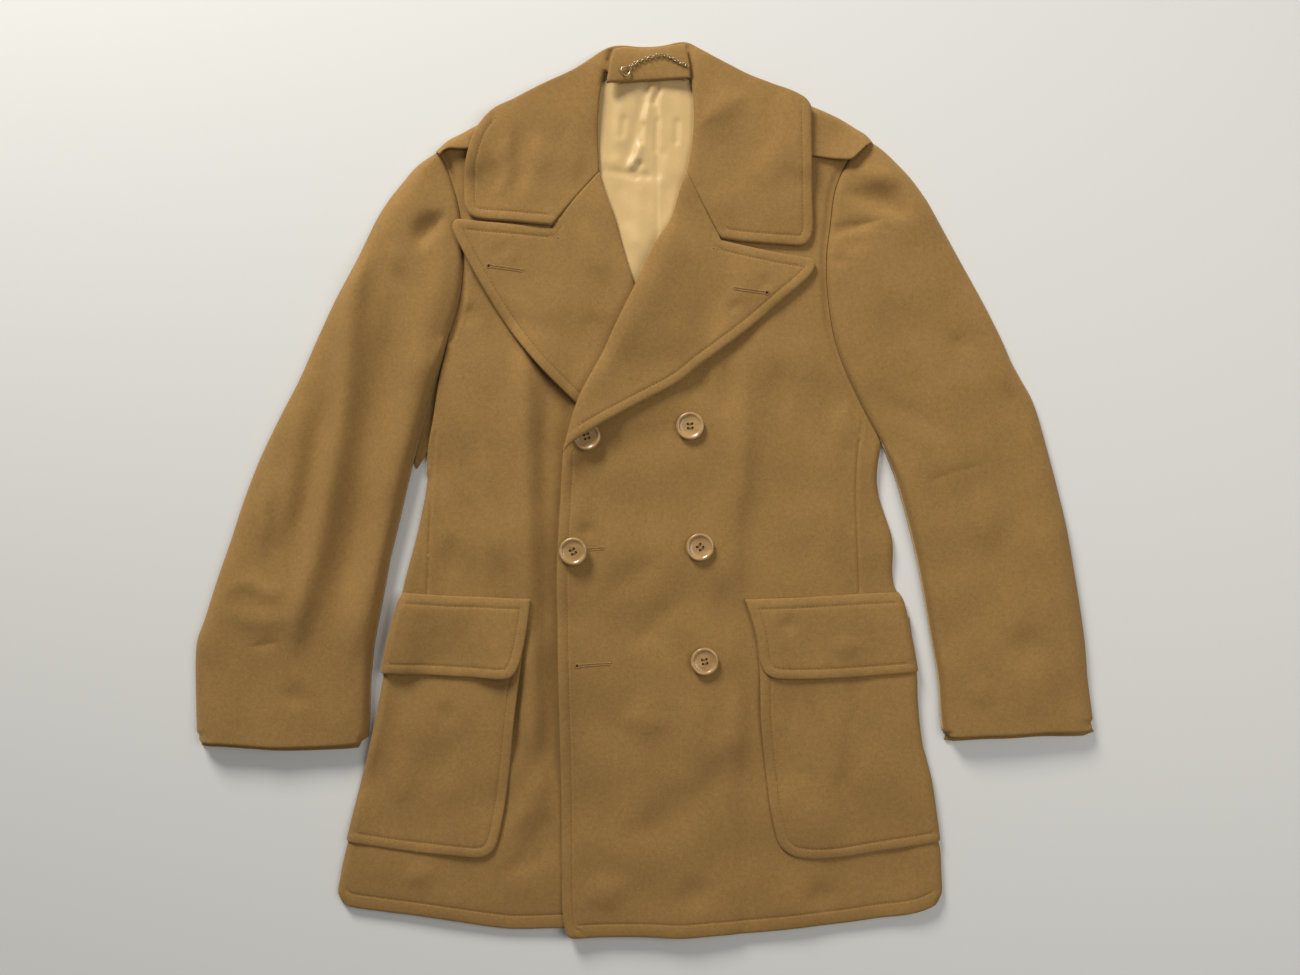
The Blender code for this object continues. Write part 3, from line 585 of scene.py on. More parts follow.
def cut_size(piece):
    """The size a piece is cut to while it is still flat: its tightest rectangle and its area, in metres."""
    line = piece["line"]
    best = None
    for turn in np.radians(np.arange(0.0, 90.0, 1.0)):
        across = line @ (math.cos(turn), math.sin(turn))
        along = line @ (-math.sin(turn), math.cos(turn))
        sides = (float(np.ptp(across)) * MM, float(np.ptp(along)) * MM)
        if best is None or sides[0] * sides[1] < best[0] * best[1]:
            best = sides
    a, b, c = (piece["flat"][piece["triangles"][:, k]] for k in range(3))
    doubled = (b[:, 0] - a[:, 0]) * (c[:, 1] - a[:, 1]) - (b[:, 1] - a[:, 1]) * (c[:, 0] - a[:, 0])
    return min(best), max(best), float(np.abs(doubled).sum() / 2) * MM * MM


def cloth(name, piece, height, wall, material, lowest=None, near_fold=None):
    """One closed sheet of cloth from a piece and its height."""
    flat, triangles = piece["flat"], piece["triangles"]
    top = height(flat)
    upper = np.column_stack([flat, top])
    fold = np.zeros(len(flat)) if near_fold is None else near_fold(flat)
    lower = upper + down_from(flat, triangles, top, fold) * wall
    if lowest is not None:
        lower[:, 2] = np.minimum(lowest(flat), top - THINNEST)
    lower[:, 2] = np.maximum(lower[:, 2], ABOVE_FLOOR)
    count = len(flat)
    ways = np.vstack([triangles[:, [0, 1]], triangles[:, [1, 2]], triangles[:, [2, 0]]])
    key = ways[:, 0] * count + ways[:, 1]
    rim = ways[~np.isin(key, ways[:, 1] * count + ways[:, 0])]
    walls = np.column_stack([rim[:, 0] + count, rim[:, 1] + count, rim[:, 1], rim[:, 0]])
    faces = triangles.tolist() + (triangles[:, ::-1] + count).tolist() + walls.tolist()
    mesh = bpy.data.meshes.new(name)
    mesh.from_pydata((np.vstack([upper, lower]) * MM).tolist(), [], faces)
    mesh.update()
    mesh.shade_smooth()
    mesh.materials.append(material)
    return placed(name + "_cloth", mesh), cut_size(piece)


def declare(thing, node, size):
    """Hang the piece on the root body and hide the solid it stands for; the size it was cut to is not used.
    """
    belongs(thing, node)
    thing.data.calc_loop_triangles()


# %% [markdown]
# ## Milled wool
# Heavy overcoat wool is fulled until its weave disappears under a short felted nap. Up close it is a
# field of fine fibres, from a step away a matt surface with faint mottling and a soft sheen at grazing
# angles. A node group makes the fibres and the mottling, and the material adds the sheen.

# %% Node group: nap
def socket(tree, name, way, kind, value=None):
    made = tree.interface.new_socket(name, in_out=way, socket_type=kind)
    if value is not None:
        made.default_value = value
    return made


def node(tree, kind, **settings):
    made = tree.nodes.new(kind)
    for key, value in settings.items():
        if key in made.inputs.keys():
            made.inputs[key].default_value = value
        else:
            setattr(made, key, value)
    return made


def nap_group():
    """Fibres and mottling on Object coordinates: a colour and a normal."""
    tree = bpy.data.node_groups.new("nap", "ShaderNodeTree")
    socket(tree, "Color", "INPUT", "NodeSocketColor", (0.3, 0.17, 0.06, 1.0))
    socket(tree, "Fibre Scale", "INPUT", "NodeSocketFloat", 900.0)
    socket(tree, "Mottle", "INPUT", "NodeSocketFloat", 0.12)
    socket(tree, "Bump", "INPUT", "NodeSocketFloat", 0.25)
    socket(tree, "Color", "OUTPUT", "NodeSocketColor")
    socket(tree, "Normal", "OUTPUT", "NodeSocketVector")
    start, end = node(tree, "NodeGroupInput"), node(tree, "NodeGroupOutput")
    place = node(tree, "ShaderNodeTexCoord")
    link = tree.links.new
    fibre = node(tree, "ShaderNodeTexNoise", Detail=4.0, Roughness=0.65)
    link(place.outputs["Object"], fibre.inputs["Vector"])
    link(start.outputs["Fibre Scale"], fibre.inputs["Scale"])
    fleck = node(tree, "ShaderNodeTexNoise", Scale=260.0, Detail=3.0, Roughness=0.6)
    cloud = node(tree, "ShaderNodeTexNoise", Scale=22.0, Detail=3.0, Roughness=0.55)
    for noise in (fleck, cloud):
        link(place.outputs["Object"], noise.inputs["Vector"])
    tone = None
    for noise, low, high in ((fibre, 0.82, 1.18), (fleck, 0.9, 1.1), (cloud, 0.93, 1.07)):
        span = node(tree, "ShaderNodeMapRange")
        span.inputs["From Min"].default_value = 0.25
        span.inputs["From Max"].default_value = 0.75
        span.inputs["To Min"].default_value = low
        span.inputs["To Max"].default_value = high
        link(noise.outputs["Fac"], span.inputs["Value"])
        if tone is None:
            tone = span.outputs["Result"]
        else:
            both = node(tree, "ShaderNodeMath", operation="MULTIPLY")
            link(tone, both.inputs[0])
            link(span.outputs["Result"], both.inputs[1])
            tone = both.outputs["Value"]
    dyed = node(tree, "ShaderNodeVectorMath", operation="SCALE")
    link(start.outputs["Color"], dyed.inputs[0])
    link(tone, dyed.inputs["Scale"])
    link(dyed.outputs["Vector"], end.inputs["Color"])
    bump = node(tree, "ShaderNodeBump", Distance=0.0006)
    link(fibre.outputs["Fac"], bump.inputs["Height"])
    link(start.outputs["Bump"], bump.inputs["Strength"])
    link(bump.outputs["Normal"], end.inputs["Normal"])
    return tree


NAP = nap_group()


# %% Materials
def finish(name, roughness, metallic=0.0, **sockets):
    """A material whose shader has its own steady values."""
    material = bpy.data.materials.new(name)
    material.use_nodes = True
    shader = material.node_tree.nodes["Principled BSDF"]
    shader.inputs["Roughness"].default_value = roughness
    shader.inputs["Metallic"].default_value = metallic
    for key, value in sockets.items():
        shader.inputs[key.replace("_", " ")].default_value = value
    return material, shader


def woollen(name, colour, bump=0.3):
    """Milled wool in one colour."""
    material, shader = finish(name, 0.95, Sheen_Weight=0.3, Sheen_Roughness=0.45, Specular_IOR_Level=0.1)
    shader.inputs["Sheen Tint"].default_value = (0.95, 0.7, 0.38, 1.0)
    tree = material.node_tree
    group = node(tree, "ShaderNodeGroup", node_tree=NAP)
    group.inputs["Color"].default_value = (*colour, 1.0)
    group.inputs["Bump"].default_value = bump
    tree.links.new(group.outputs["Color"], shader.inputs["Base Color"])
    tree.links.new(group.outputs["Normal"], shader.inputs["Normal"])
    return material


def satin(name, colour):
    """Lining satin: fine warp threads, a soft stretched highlight."""
    material, shader = finish(name, 0.46, Specular_IOR_Level=0.5, Sheen_Weight=0.12, Sheen_Roughness=0.3)
    tree = material.node_tree
    place = node(tree, "ShaderNodeTexCoord")
    stretch = node(tree, "ShaderNodeMapping")
    stretch.inputs["Scale"].default_value = (3000.0, 260.0, 260.0)
    thread = node(tree, "ShaderNodeTexNoise", Scale=1.0, Detail=2.0)
    tone = node(tree, "ShaderNodeMixRGB", blend_type="MIX")
    tone.inputs["Color1"].default_value = (*[c * 0.86 for c in colour], 1.0)
    tone.inputs["Color2"].default_value = (*[min(c * 1.12, 1.0) for c in colour], 1.0)
    bump = node(tree, "ShaderNodeBump", Strength=0.12, Distance=0.0003)
    link = tree.links.new
    link(place.outputs["Object"], stretch.inputs["Vector"])
    link(stretch.outputs["Vector"], thread.inputs["Vector"])
    link(thread.outputs["Fac"], tone.inputs["Fac"])
    link(tone.outputs["Color"], shader.inputs["Base Color"])
    link(thread.outputs["Fac"], bump.inputs["Height"])
    link(bump.outputs["Normal"], shader.inputs["Normal"])
    return material


def horn(name):
    """Polished horn-like plastic with cloudy streaks."""
    material, shader = finish(name, 0.28, Specular_IOR_Level=0.5, Coat_Weight=0.3, Coat_Roughness=0.15)
    tree = material.node_tree
    place = node(tree, "ShaderNodeTexCoord")
    stretch = node(tree, "ShaderNodeMapping")
    stretch.inputs["Scale"].default_value = (40.0, 80.0, 60.0)
    streak = node(tree, "ShaderNodeTexNoise", Scale=1.0, Detail=4.0, Distortion=1.2)
    ramp = node(tree, "ShaderNodeValToRGB")
    ramp.color_ramp.elements[0].position = 0.25
    ramp.color_ramp.elements[0].color = (0.29, 0.155, 0.052, 1.0)
    ramp.color_ramp.elements[1].position = 0.75
    ramp.color_ramp.elements[1].color = (0.50, 0.31, 0.12, 1.0)
    link = tree.links.new
    link(place.outputs["Object"], stretch.inputs["Vector"])
    link(stretch.outputs["Vector"], streak.inputs["Vector"])
    link(streak.outputs["Fac"], ramp.inputs["Fac"])
    link(ramp.outputs["Color"], shader.inputs["Base Color"])
    return material


def brass(name):
    """Dull brass with a little tarnish."""
    material, shader = finish(name, 0.32, 1.0)
    tree = material.node_tree
    place = node(tree, "ShaderNodeTexCoord")
    spot = node(tree, "ShaderNodeTexNoise", Scale=400.0, Detail=3.0)
    ramp = node(tree, "ShaderNodeValToRGB")
    ramp.color_ramp.elements[0].color = (0.28, 0.19, 0.09, 1.0)
    ramp.color_ramp.elements[1].color = (0.75, 0.62, 0.38, 1.0)
    link = tree.links.new
    link(place.outputs["Object"], spot.inputs["Vector"])
    link(spot.outputs["Fac"], ramp.inputs["Fac"])
    link(ramp.outputs["Color"], shader.inputs["Base Color"])
    return material


wool = woollen("wool", (0.285, 0.162, 0.052))
thread = woollen("thread", (0.19, 0.105, 0.036), 0.1)
buttonhole_thread = woollen("buttonhole_thread", (0.34, 0.2, 0.078), 0.1)
# eye_shade is near-black: painted shade for the buttonholes' eyes
eye_shade = woollen("eye_shade", (0.02, 0.01, 0.004), 0.1)
gold_satin = satin("gold_satin", (0.6, 0.405, 0.165))
button_horn = horn("button_horn")
chain_brass = brass("chain_brass")

# %% [markdown]
# ## Lines that two pieces share
# Each armhole, roll line, gorge and shoulder is drawn once, and both neighbours use it.

# %% Shared lines
ARMHOLE_LEFT = [(-197.5, 154), (-189.5, 178), (-184.4, 204), (-182.6, 236), (-186, 276),
                (-192.4, 303), (-203, 331), (-209.5, 340.5)]
ARMHOLE_RIGHT = [(240, 45), (219, 84), (200, 126), (190, 160), (184, 207),
                 (184, 237), (187.5, 266), (192.2, 300), (203.5, 328.5), (214, 341),
                 (226.5, 352.5)]
ROLL_LEFT = [(8, 92.5), (6, 137.2), (-2, 172), (-9.4, 203.2), (-19.4, 235.7), (-30.8, 276.1),
             (-39.5, 299.1), (-45.5, 319.1)]
ROLL_RIGHT = [(-81.5, 35.9), (-66.3, 88.8), (-42.3, 134.7), (-27.8, 165.9), (-9.4, 203.2),
              (9.5, 243.4), (26.6, 271.9), (36.5, 303.4), (42.5, 318.1)]
SIDE_LEFT = [(-306.2, -417), (-310.2, -408), (-308.4, -395.4), (-304.6, -375), (-299.6, -354.9),
             (-294.6, -334.7), (-289.6, -314.5), (-279.6, -274), (-270.4, -233.6), (-262.7, -193),
             (-257.4, -152.7), (-246.6, -112.2), (-242.4, -92), (-231.6, -51.6), (-222.7, -11.1),
             (-219.5, 9.1)]
SIDE_RIGHT = [(297, -417.5), (301.2, -407), (300.9, -395), (299.5, -365), (296.8, -352),
              (294.8, -334.7), (288.7, -294.2), (283.7, -274), (278.6, -253.8), (274.8, -213.4),
              (273.6, -180), (269.6, -152.7), (259.6, -112.2), (253, -98), (251, -85),
              (251.6, -60), (249.5, -45), (243.5, -27), (237.5, -8), (235.3, 10),
              (237, 29), (240, 45)]
GORGE_LEFT = [(-45.5, 319.1), (-70.8, 291), (-92.9, 264.6)]
GORGE_RIGHT = [(42.5, 318.1), (61.1, 280.9), (76.8, 251.7)]
SHOULDER_LEFT = [(-209.5, 340.5), (-196.5, 351), (-172.5, 363.5), (-120, 391), (-62, 420)]
SHOULDER_RIGHT = [(226.5, 352.5), (212, 362.5), (188, 376.5), (131, 401.5), (62, 424)]
# Under the left arm the front's edge curves in, and a strip of the back shows between it and the
# sleeve: the gusset.
UNDERARM_LEFT = [(-219.5, 9.1), (-218.6, 38), (-213.2, 68.4), (-207, 108), (-197.5, 154)]
GUSSET_LEFT = [(-197.5, 154), (-209, 122), (-222.5, 74), (-228, 50), (-233, 27),
               (-230.5, 20.5), (-219.5, 36), (-211.5, 30), (-211, 8)]

# %% [markdown]
# ## Back
# The back carries everything else and lies flat, so it is a plain sheet. It stays a little inside the
# folded sides of the fronts, which wrap round it.

# %% Back
HIDDEN = {"seam": SEAM, "fold": UNDER_INSET}
back_parts = [
    ("free", [(-302, -412), (-243, -425.5), (-129, -438.5), (0, -440.5), (84, -440.5),
              (166, -436.5), (234, -428.5), (292, -413.5)]),
    ("fold", SIDE_RIGHT[1:]),
    ("seam", ARMHOLE_RIGHT),
    ("fold", SHOULDER_RIGHT[:4] + [(76.0, 417.0)]),
    ("free", [(76, 417), (56, 408), (40, 413.5), (0, 416), (-40, 413),
              (-56, 407), (-76, 412)]),
    ("fold", [(-76.0, 412.0)] + SHOULDER_LEFT[3::-1]),
    ("seam", ARMHOLE_LEFT[::-1]),
    ("free", GUSSET_LEFT),
    ("fold", [(-211.0, 8.0)] + SIDE_LEFT[1:-1][::-1]),
    ("free", [(-310.2, -408), (-302, -412)]),
]


def lie_flat(name, parts, wall, insets):
    """A hidden layer that lies flat on the floor."""
    piece = cut(parts, 8.0, (1.5,), 24.0, insets=insets)
    height = lambda points: np.full(len(points), wall)
    thing, size = cloth(name, piece, height, wall, wool)
    lay(name, piece, height)
    declare(thing, name, size)


lie_flat("back", back_parts, WOOL, HIDDEN)

# %% [markdown]
# ## Lining
# In the neck the back's satin lining shows. It is thin and slips into sharp little folds: a pleat down
# the middle, which lets the shoulders move, and creases that fan out from it.

# %% Lining
lining_parts = [
    ("free", [(-70, 188), (0, 168), (60, 212)]),
    ("free", [(60, 212), (71, 297), (66, 366), (50, 413)]),
    ("free", [(50, 413), (15, 414), (-13, 413.5), (-46, 411.5)]),
    ("free", [(-46, 411.5), (-67, 366), (-79, 287), (-70, 188)]),
]
PLEAT = [(13.8, 413), (14, 356), (13.8, 297), (13.6, 228)]
LINING_FOLDS = [
    # line, half width, height
    ([(8, 404), (-1, 366), (-6, 342), (-12, 326)], 4.5, 2.6),
    ([(2, 400), (-8, 356), (-18, 330)], 6, -2.2),
    ([(-42, 322), (-14, 318), (2, 316)], 4, -1.8),
    ([(-44, 332), (-12, 329)], 6, 1.2),
    ([(-7, 328), (-12, 318)], 3.5, -2.2),
    ([(33, 370), (32, 350)], 3.2, -2.4),
    ([(-2, 367), (-3, 350)], 2.8, -2.2),
    ([(13, 372), (12, 342)], 2.6, -1.8),
    ([(-21, 373), (-23, 357)], 3.2, -1.8),
    ([(-5, 328), (-9, 315)], 2.8, -2),
    ([(14, 402), (9, 390)], 3, -2),
    ([(36, 398), (40, 350), (34, 320)], 7, 1.4),
    ([(-34, 396), (-38, 356), (-34, 338)], 7, -1.2),
    ([(-25, 384), (-26, 352)], 5.5, 1.2),
    ([(17, 338), (14, 318)], 5, -1.4),
    ([(-4, 300), (-8, 250)], 7, 1),
    ([(22, 300), (12, 246)], 7, -1),
    ([(-26, 300), (-20, 270)], 6, -1),
]


def lining_height(points):
    rise = np.zeros(len(points))
    for line, width, height in LINING_FOLDS:
        rise += height * bell(distance(points, through(line, 5.0)), width)
    beyond = points[:, 0] - np.interp(points[:, 1], [p[1] for p in PLEAT[::-1]], [p[0] for p in PLEAT[::-1]])
    rise += 1.3 * smooth(beyond / 1.2 + 0.5) * smooth((40.0 - beyond) / 34.0)
    rise -= 0.9 * bell(beyond, 1.1) * smooth((points[:, 1] - 236.0) / 30.0)
    rise += 0.4 * np.sin(points @ (0.17, 0.06)) * np.sin(points @ (-0.05, 0.13) + 1)
    rise += 3.5 * smooth((312.0 - points[:, 1]) / 80.0)
    shown = smooth(1.0 - np.abs(points[:, 0] - 3.0) / 66.0) * smooth((points[:, 1] - 178.0) / 30.0)
    return WOOL + GAP + SATIN + 1.6 + np.maximum(rise * shown, -1.5)


lining = cut(lining_parts, 4.0, (1.5,), 2.6)
lining_cloth, size = cloth("lining_back", lining, lining_height, SATIN, gold_satin)
lay("lining_back", lining, lambda points: np.full(len(points), WOOL + GAP + SATIN))
declare(lining_cloth, "lining_back", size)

# %% [markdown]
# ## Fronts
# Each front lies on the back and turns down to the floor at its side, where it folds round to the side
# seam. The right one laps over the left, so it is laid after it and rides over the left lapel. A long dart
# runs from the armhole to each pocket.

# %% Laying a front
FRONT_RINGS = RINGS[:8] + (12.0, 13.2, 14.0, 14.8, 16.6)
DART_SWELL = 0.5
DART_DEPTH = 1.0


def lay_front(name, parts, creases):
    piece = cut(parts, rings=FRONT_RINGS, creases=creases)
    pile = drape(20.0, 36.0, blur=3)

    def height(points):
        full = np.maximum(BODY_TOP, pile(points) + GAP + WOOL) + fold_rise(name, points)
        full += sewn(piece, points) + sewn(piece, points, "hem", HEM_IN)
        for crease in creases:
            away = distance(points, through(crease, 4.0))
            full += DART_SWELL * bell(away - 3.2, 2.2) - DART_DEPTH * bell(away, 1.1)
        full -= rounding(piece, points, WOOL)
        full -= VALLEY * (1.0 - smooth(beside(piece, points, "seam") / VALLEY_REACH))
        full = np.maximum(full, 2 * WOOL + GAP + 0.1)
        return RIM + (full - RIM) * arc(beside(piece, points, "fold") / BODY_ROUND)

    near = lambda points: (beside(piece, points, "fold") < BODY_ROUND + 4.0).astype(float)
    thing, size = cloth(name, piece, height, WOOL, wool, near_fold=near)
    lay(name, piece, height)
    declare(thing, name, size)
    for kind, inset in (("edge", STITCH_IN), ("hem", HEM_IN)):
        STITCHES.extend((run, height) for run in stitch_run(piece, kind, inset))
    return height


# %% Left front
front_left_parts = [
    ("hem", [(-306.2, -417), (-296, -421.3), (-266.2, -425.9), (-226, -430.8), (-186, -436.6),
             (-146, -442.6), (-126, -443.8), (-84.8, -442.5), (0, -440.5), (66, -438.5)]),
    ("free", [(66, -438.5), (68, -300), (68, -100), (64, 20), (40, 66), (8, 92.5)]),
    ("free", ROLL_LEFT),
    ("free", [(-45.5, 319.1), (-47.2, 355.9), (-49.7, 395.6), (-62, 420)]),
    ("fold", SHOULDER_LEFT[::-1]),
    ("seam", ARMHOLE_LEFT[::-1]),
    ("free", UNDERARM_LEFT[::-1]),
    ("fold", SIDE_LEFT[::-1]),
]
DART_LEFT = [(-210.5, 57.7), (-213, 19.1), (-216, -41.7), (-218.6, -102.8)]
lay_front("front_left", front_left_parts, [DART_LEFT])


# %% [markdown]
# ## Sleeves
# A tailored sleeve is two pieces. The under sleeve lies flat and hidden, and the top sleeve arches over
# it, rolls down to the floor on both sides and rises out of the armhole seam. The left one fell into long
# soft ridges.

# %% Laying a sleeve
SLEEVE_RINGS = (0.8, 2.2, 4.4, 7.4, 11.0, 15.0, 19.5)


def lay_sleeve(side, outer, inner, cuff, armhole, creases):
    outer_line = [armhole[-1]] + [(x, y) for y, x in outer]
    inner_line = [(x, y) for y, x in inner]
    end = cuff if cuff[0] == outer_line[-1] else cuff[::-1]
    parts = [("turn", inner_line), ("seam", armhole), ("fold", outer_line), ("free", end)]
    under = {"seam": SEAM, "fold": UNDER_INSET, "turn": UNDER_INSET, "free": -3.5}
    lie_flat("sleeve_%s_under" % side, parts, WOOL, under)
    name = "sleeve_%s_top" % side
    piece = cut(parts, 4.0, SLEEVE_RINGS, 6.0, creases, {"seam": SEAM, "free": 2.5})
    along, round_it = through(outer_line, 12.0), through(inner_line + armhole, 12.0)

    def height(points):
        fold, turn = beside(piece, points, "fold"), beside(piece, points, "turn")
        seam, span = beside(piece, points, "seam"), distance(points, along)
        across = span / np.maximum(span + distance(points, round_it), 1.0)
        crest = SLEEVE_TOP + SLEEVE_CROWN * 4.0 * across * (1.0 - across)
        crest += fold_rise("sleeve_" + side, points) - rounding(piece, points, WOOL)
        top = RIM + (crest - RIM) * arc(np.minimum(fold / SLEEVE_ROUND, turn / SLEEVE_TURN))
        foot = BODY_TOP - VALLEY
        rise = 0.6 * arc(seam / HEAD_ROLL) + 0.4 * smooth(seam / SLEEVE_HEAD)
        return np.minimum(top, foot + (crest - foot) * rise)

    def near(points):
        fold, turn = beside(piece, points, "fold"), beside(piece, points, "turn")
        return ((fold < SLEEVE_ROUND + 4.0) | (turn < SLEEVE_TURN + 4.0)).astype(float)

    thing, size = cloth(name, piece, height, WOOL, wool, near_fold=near)
    lay(name, piece, height)
    declare(thing, name, size)


# %% Left sleeve
SLEEVE_LEFT = [
    # y, outer x
    (326.6, -229.5), (306, -247.5), (292, -258.5), (272, -271),
    (231.5, -290.5), (191, -312.5), (151, -331), (110, -349), (69.7, -370),
    (29.3, -389.2), (-11, -404.7), (-51.6, -418), (-92, -432), (-132.5, -445),
    (-152.7, -452), (-173, -453.9), (-213.4, -453.5), (-249, -452.5),
]
INNER_LEFT = [
    # y, inner x
    (-254, -279.4), (-231, -277.5), (-190, -276.2), (-152.7, -272.2), (-112, -264.3),
    (-71.8, -257), (-30, -247), (9, -238), (49.5, -227.5), (74, -221),
    (122, -206), (154, -197.5),
]
CUFF_LEFT = [(-452.5, -249), (-446, -255.8), (-425, -257.4), (-397, -259.4), (-368.5, -261.2),
             (-326, -260.3), (-290, -258), (-279.4, -254)]
lay_sleeve("left", SLEEVE_LEFT, INNER_LEFT, CUFF_LEFT, ARMHOLE_LEFT,
           [[(-404, -159), (-380, -156), (-356, -150)]])


# %% [markdown]
# ## Lapels, collar and other laid pieces
# These pieces simply lie on the pile. They share one function: it drapes the piece, rounds its edges,
# lets the stitched bands swell and presses the stitches in.

# %% Laying a piece on the pile
CREASE_DEPTH = 2.6


def lay_piece(name, parts, wall, neighbours=(), creases=()):
    piece = cut(parts, 3.5, pitch=4.5, creases=creases)
    pile = drape(12.5, 30.0, neighbours)
    lowest = lambda points: pile(points) + GAP + stand_off(name, points)

    def height(points):
        top = lowest(points) + wall + np.maximum(fold_rise(name, points) + 1.0, 0.0)
        for crease in creases:
            top -= CREASE_DEPTH * bell(distance(points, through(crease, 4.0)), 2.2)
        return top - rounding(piece, points, wall) + sewn(piece, points)

    thing, size = cloth(name, piece, height, wall, wool, lowest)
    lay(name, piece, height)
    declare(thing, name, size)
    STITCHES.extend((run, height) for run in stitch_run(piece, "edge", STITCH_IN))
    return height


# %% Left lapel
lapel_left_parts = [
    ("edge", [(-92.9, 262.8), (-128.8, 265.6), (-182.9, 270.2)]),
    ("edge", [(-182.9, 270.2), (-189.3, 269.6), (-191.9, 261.6), (-183.3, 241.7), (-163.1, 204.1),
              (-140.2, 166.7), (-105.7, 123.5), (-66.6, 84.2)]),
    ("free", [(-66.6, 84.2), (-51.7, 81.5), (-19.8, 85.5), (8, 92.5)]),
    ("roll", ROLL_LEFT),
    ("seam", GORGE_LEFT),
]
lapel_left_height = lay_piece("lapel_left", lapel_left_parts, LAPEL)

# %% Right front
front_right_parts = [
    ("hem", [(-69.8, -451.6), (-45, -450.8), (-5, -450.3), (36, -451.2), (76, -448.8),
             (117, -446.4), (157, -442.2), (198, -437.8), (238, -432), (262, -429),
             (280, -424.8), (297, -417.5)]),
    ("fold", SIDE_RIGHT),
    ("seam", ARMHOLE_RIGHT),
    ("fold", SHOULDER_RIGHT),
    ("free", [(62, 424), (52.7, 395.6), (49.7, 359.9), (42.5, 318.1)]),
    ("free", ROLL_RIGHT[::-1]),
    ("edge", [(-81.5, 35.9), (-87, -71.5), (-87, -125.4), (-83.6, -286.9), (-82.2, -421.7),
              (-78.6, -445.6), (-75.6, -450), (-69.8, -451.6)]),
]
DART_RIGHT = [(219.7, 67.6), (214.7, 36.3), (213.1, -5.6), (214.7, -60.4), (216.6, -102.3)]
front_right_height = lay_front("front_right", front_right_parts, [DART_RIGHT])

# %% Right sleeve
SLEEVE_RIGHT = [
    # y, outer x
    (342.8, 240.5), (326.6, 257.5), (312.4, 270.5), (292.2, 285), (272, 296.5), (231.5, 318.8),
    (191, 341), (150.6, 361.3), (130.4, 369.8), (110.2, 380.8), (92, 391), (69.7, 398.9),
    (29.3, 410), (-31.4, 425.2), (-92, 436.2), (-152.7, 445.2), (-193, 448.5), (-236, 453.9),
]
INNER_RIGHT = [
    # y, inner x
    (-247.5, 301.5), (-233.6, 299.8), (-193, 296.8), (-152.7, 290), (-112, 283),
    (-71.8, 275.3), (-31.4, 265.4), (9, 254), (29.3, 246.3), (45, 240),
]
CUFF_RIGHT = [(301.5, -247.5), (305, -250.3), (313, -251.3), (341.3, -249.6), (369.6, -248.8),
              (402, -246.5), (443, -246), (452, -242.5), (453.9, -236)]
lay_sleeve("right", SLEEVE_RIGHT, INNER_RIGHT, CUFF_RIGHT, ARMHOLE_RIGHT,
           [[(200, 261), (242, 270)], [(270, 1), (305, 15), (350, 28)]])

# %% [markdown]
# ## Buttons
# Large overcoat buttons have a thick rounded rim, a dished middle and four holes. The shape is turned, and
# the holes are drilled with a Boolean. Thread goes through the holes, two parallel bars.

# %% One button's mesh
HOLE_RADIUS = 1.35
HOLE_OUT = 2.1  # how far a hole is from the middle, each way
STRAND_RADIUS = 0.24


def button_mesh():
    r, h, sides = BUTTON_RADIUS, BUTTON_HEIGHT, 64
    profile = [
        # distance from the middle, height
        (0.0, 0.0), (0.55 * r, 0.0), (0.82 * r, 0.1 * h), (0.95 * r, 0.3 * h), (r, 0.55 * h),
        (0.99 * r, 0.76 * h), (0.955 * r, 0.92 * h), (0.9 * r, h), (0.84 * r, 0.98 * h),
        (0.78 * r, 0.88 * h), (0.73 * r, 0.74 * h), (0.68 * r, 0.68 * h), (0.5 * r, 0.64 * h),
        (0.0, 0.62 * h),
    ]
    points = [(0.0, 0.0, 0.0)]
    for radius, height in profile[1:-1]:
        for k in range(sides):
            turn = 2 * math.pi * k / sides
            points.append((radius * math.cos(turn), radius * math.sin(turn), height))
    points.append((0.0, 0.0, profile[-1][1]))
    rows = len(profile) - 2
    faces = []
    for k in range(sides):
        ahead = (k + 1) % sides
        faces.append((0, 1 + ahead, 1 + k))
        for row in range(rows - 1):
            a, b = 1 + row * sides, 1 + (row + 1) * sides
            faces.append((a + k, a + ahead, b + ahead, b + k))
        faces.append((1 + (rows - 1) * sides + k, 1 + (rows - 1) * sides + ahead, len(points) - 1))
    mesh = bpy.data.meshes.new("button")
    mesh.from_pydata([tuple(c * MM for c in p) for p in points], [], faces)
    disc = placed("button", mesh)
    drills = []
    for x, y in ((1, 1), (-1, 1), (-1, -1), (1, -1)):
        bpy.ops.mesh.primitive_cylinder_add(vertices=20, radius=HOLE_RADIUS * MM, depth=20 * MM,
                                            location=(HOLE_OUT * x * MM, HOLE_OUT * y * MM, 0.0))
        drill = bpy.context.object
        cutter = disc.modifiers.new("hole", "BOOLEAN")
        cutter.object = drill
        cutter.operation = "DIFFERENCE"
        drills.append(drill)
    evaluated = disc.evaluated_get(bpy.context.evaluated_depsgraph_get())
    made = bpy.data.meshes.new_from_object(evaluated)
    for thing in (*drills, disc):
        bpy.data.objects.remove(thing)
    made.shade_smooth()
    made.set_sharp_from_angle(angle=math.radians(50))
    return made


BUTTON = button_mesh()
print("one button has", len(BUTTON.polygons), "faces")


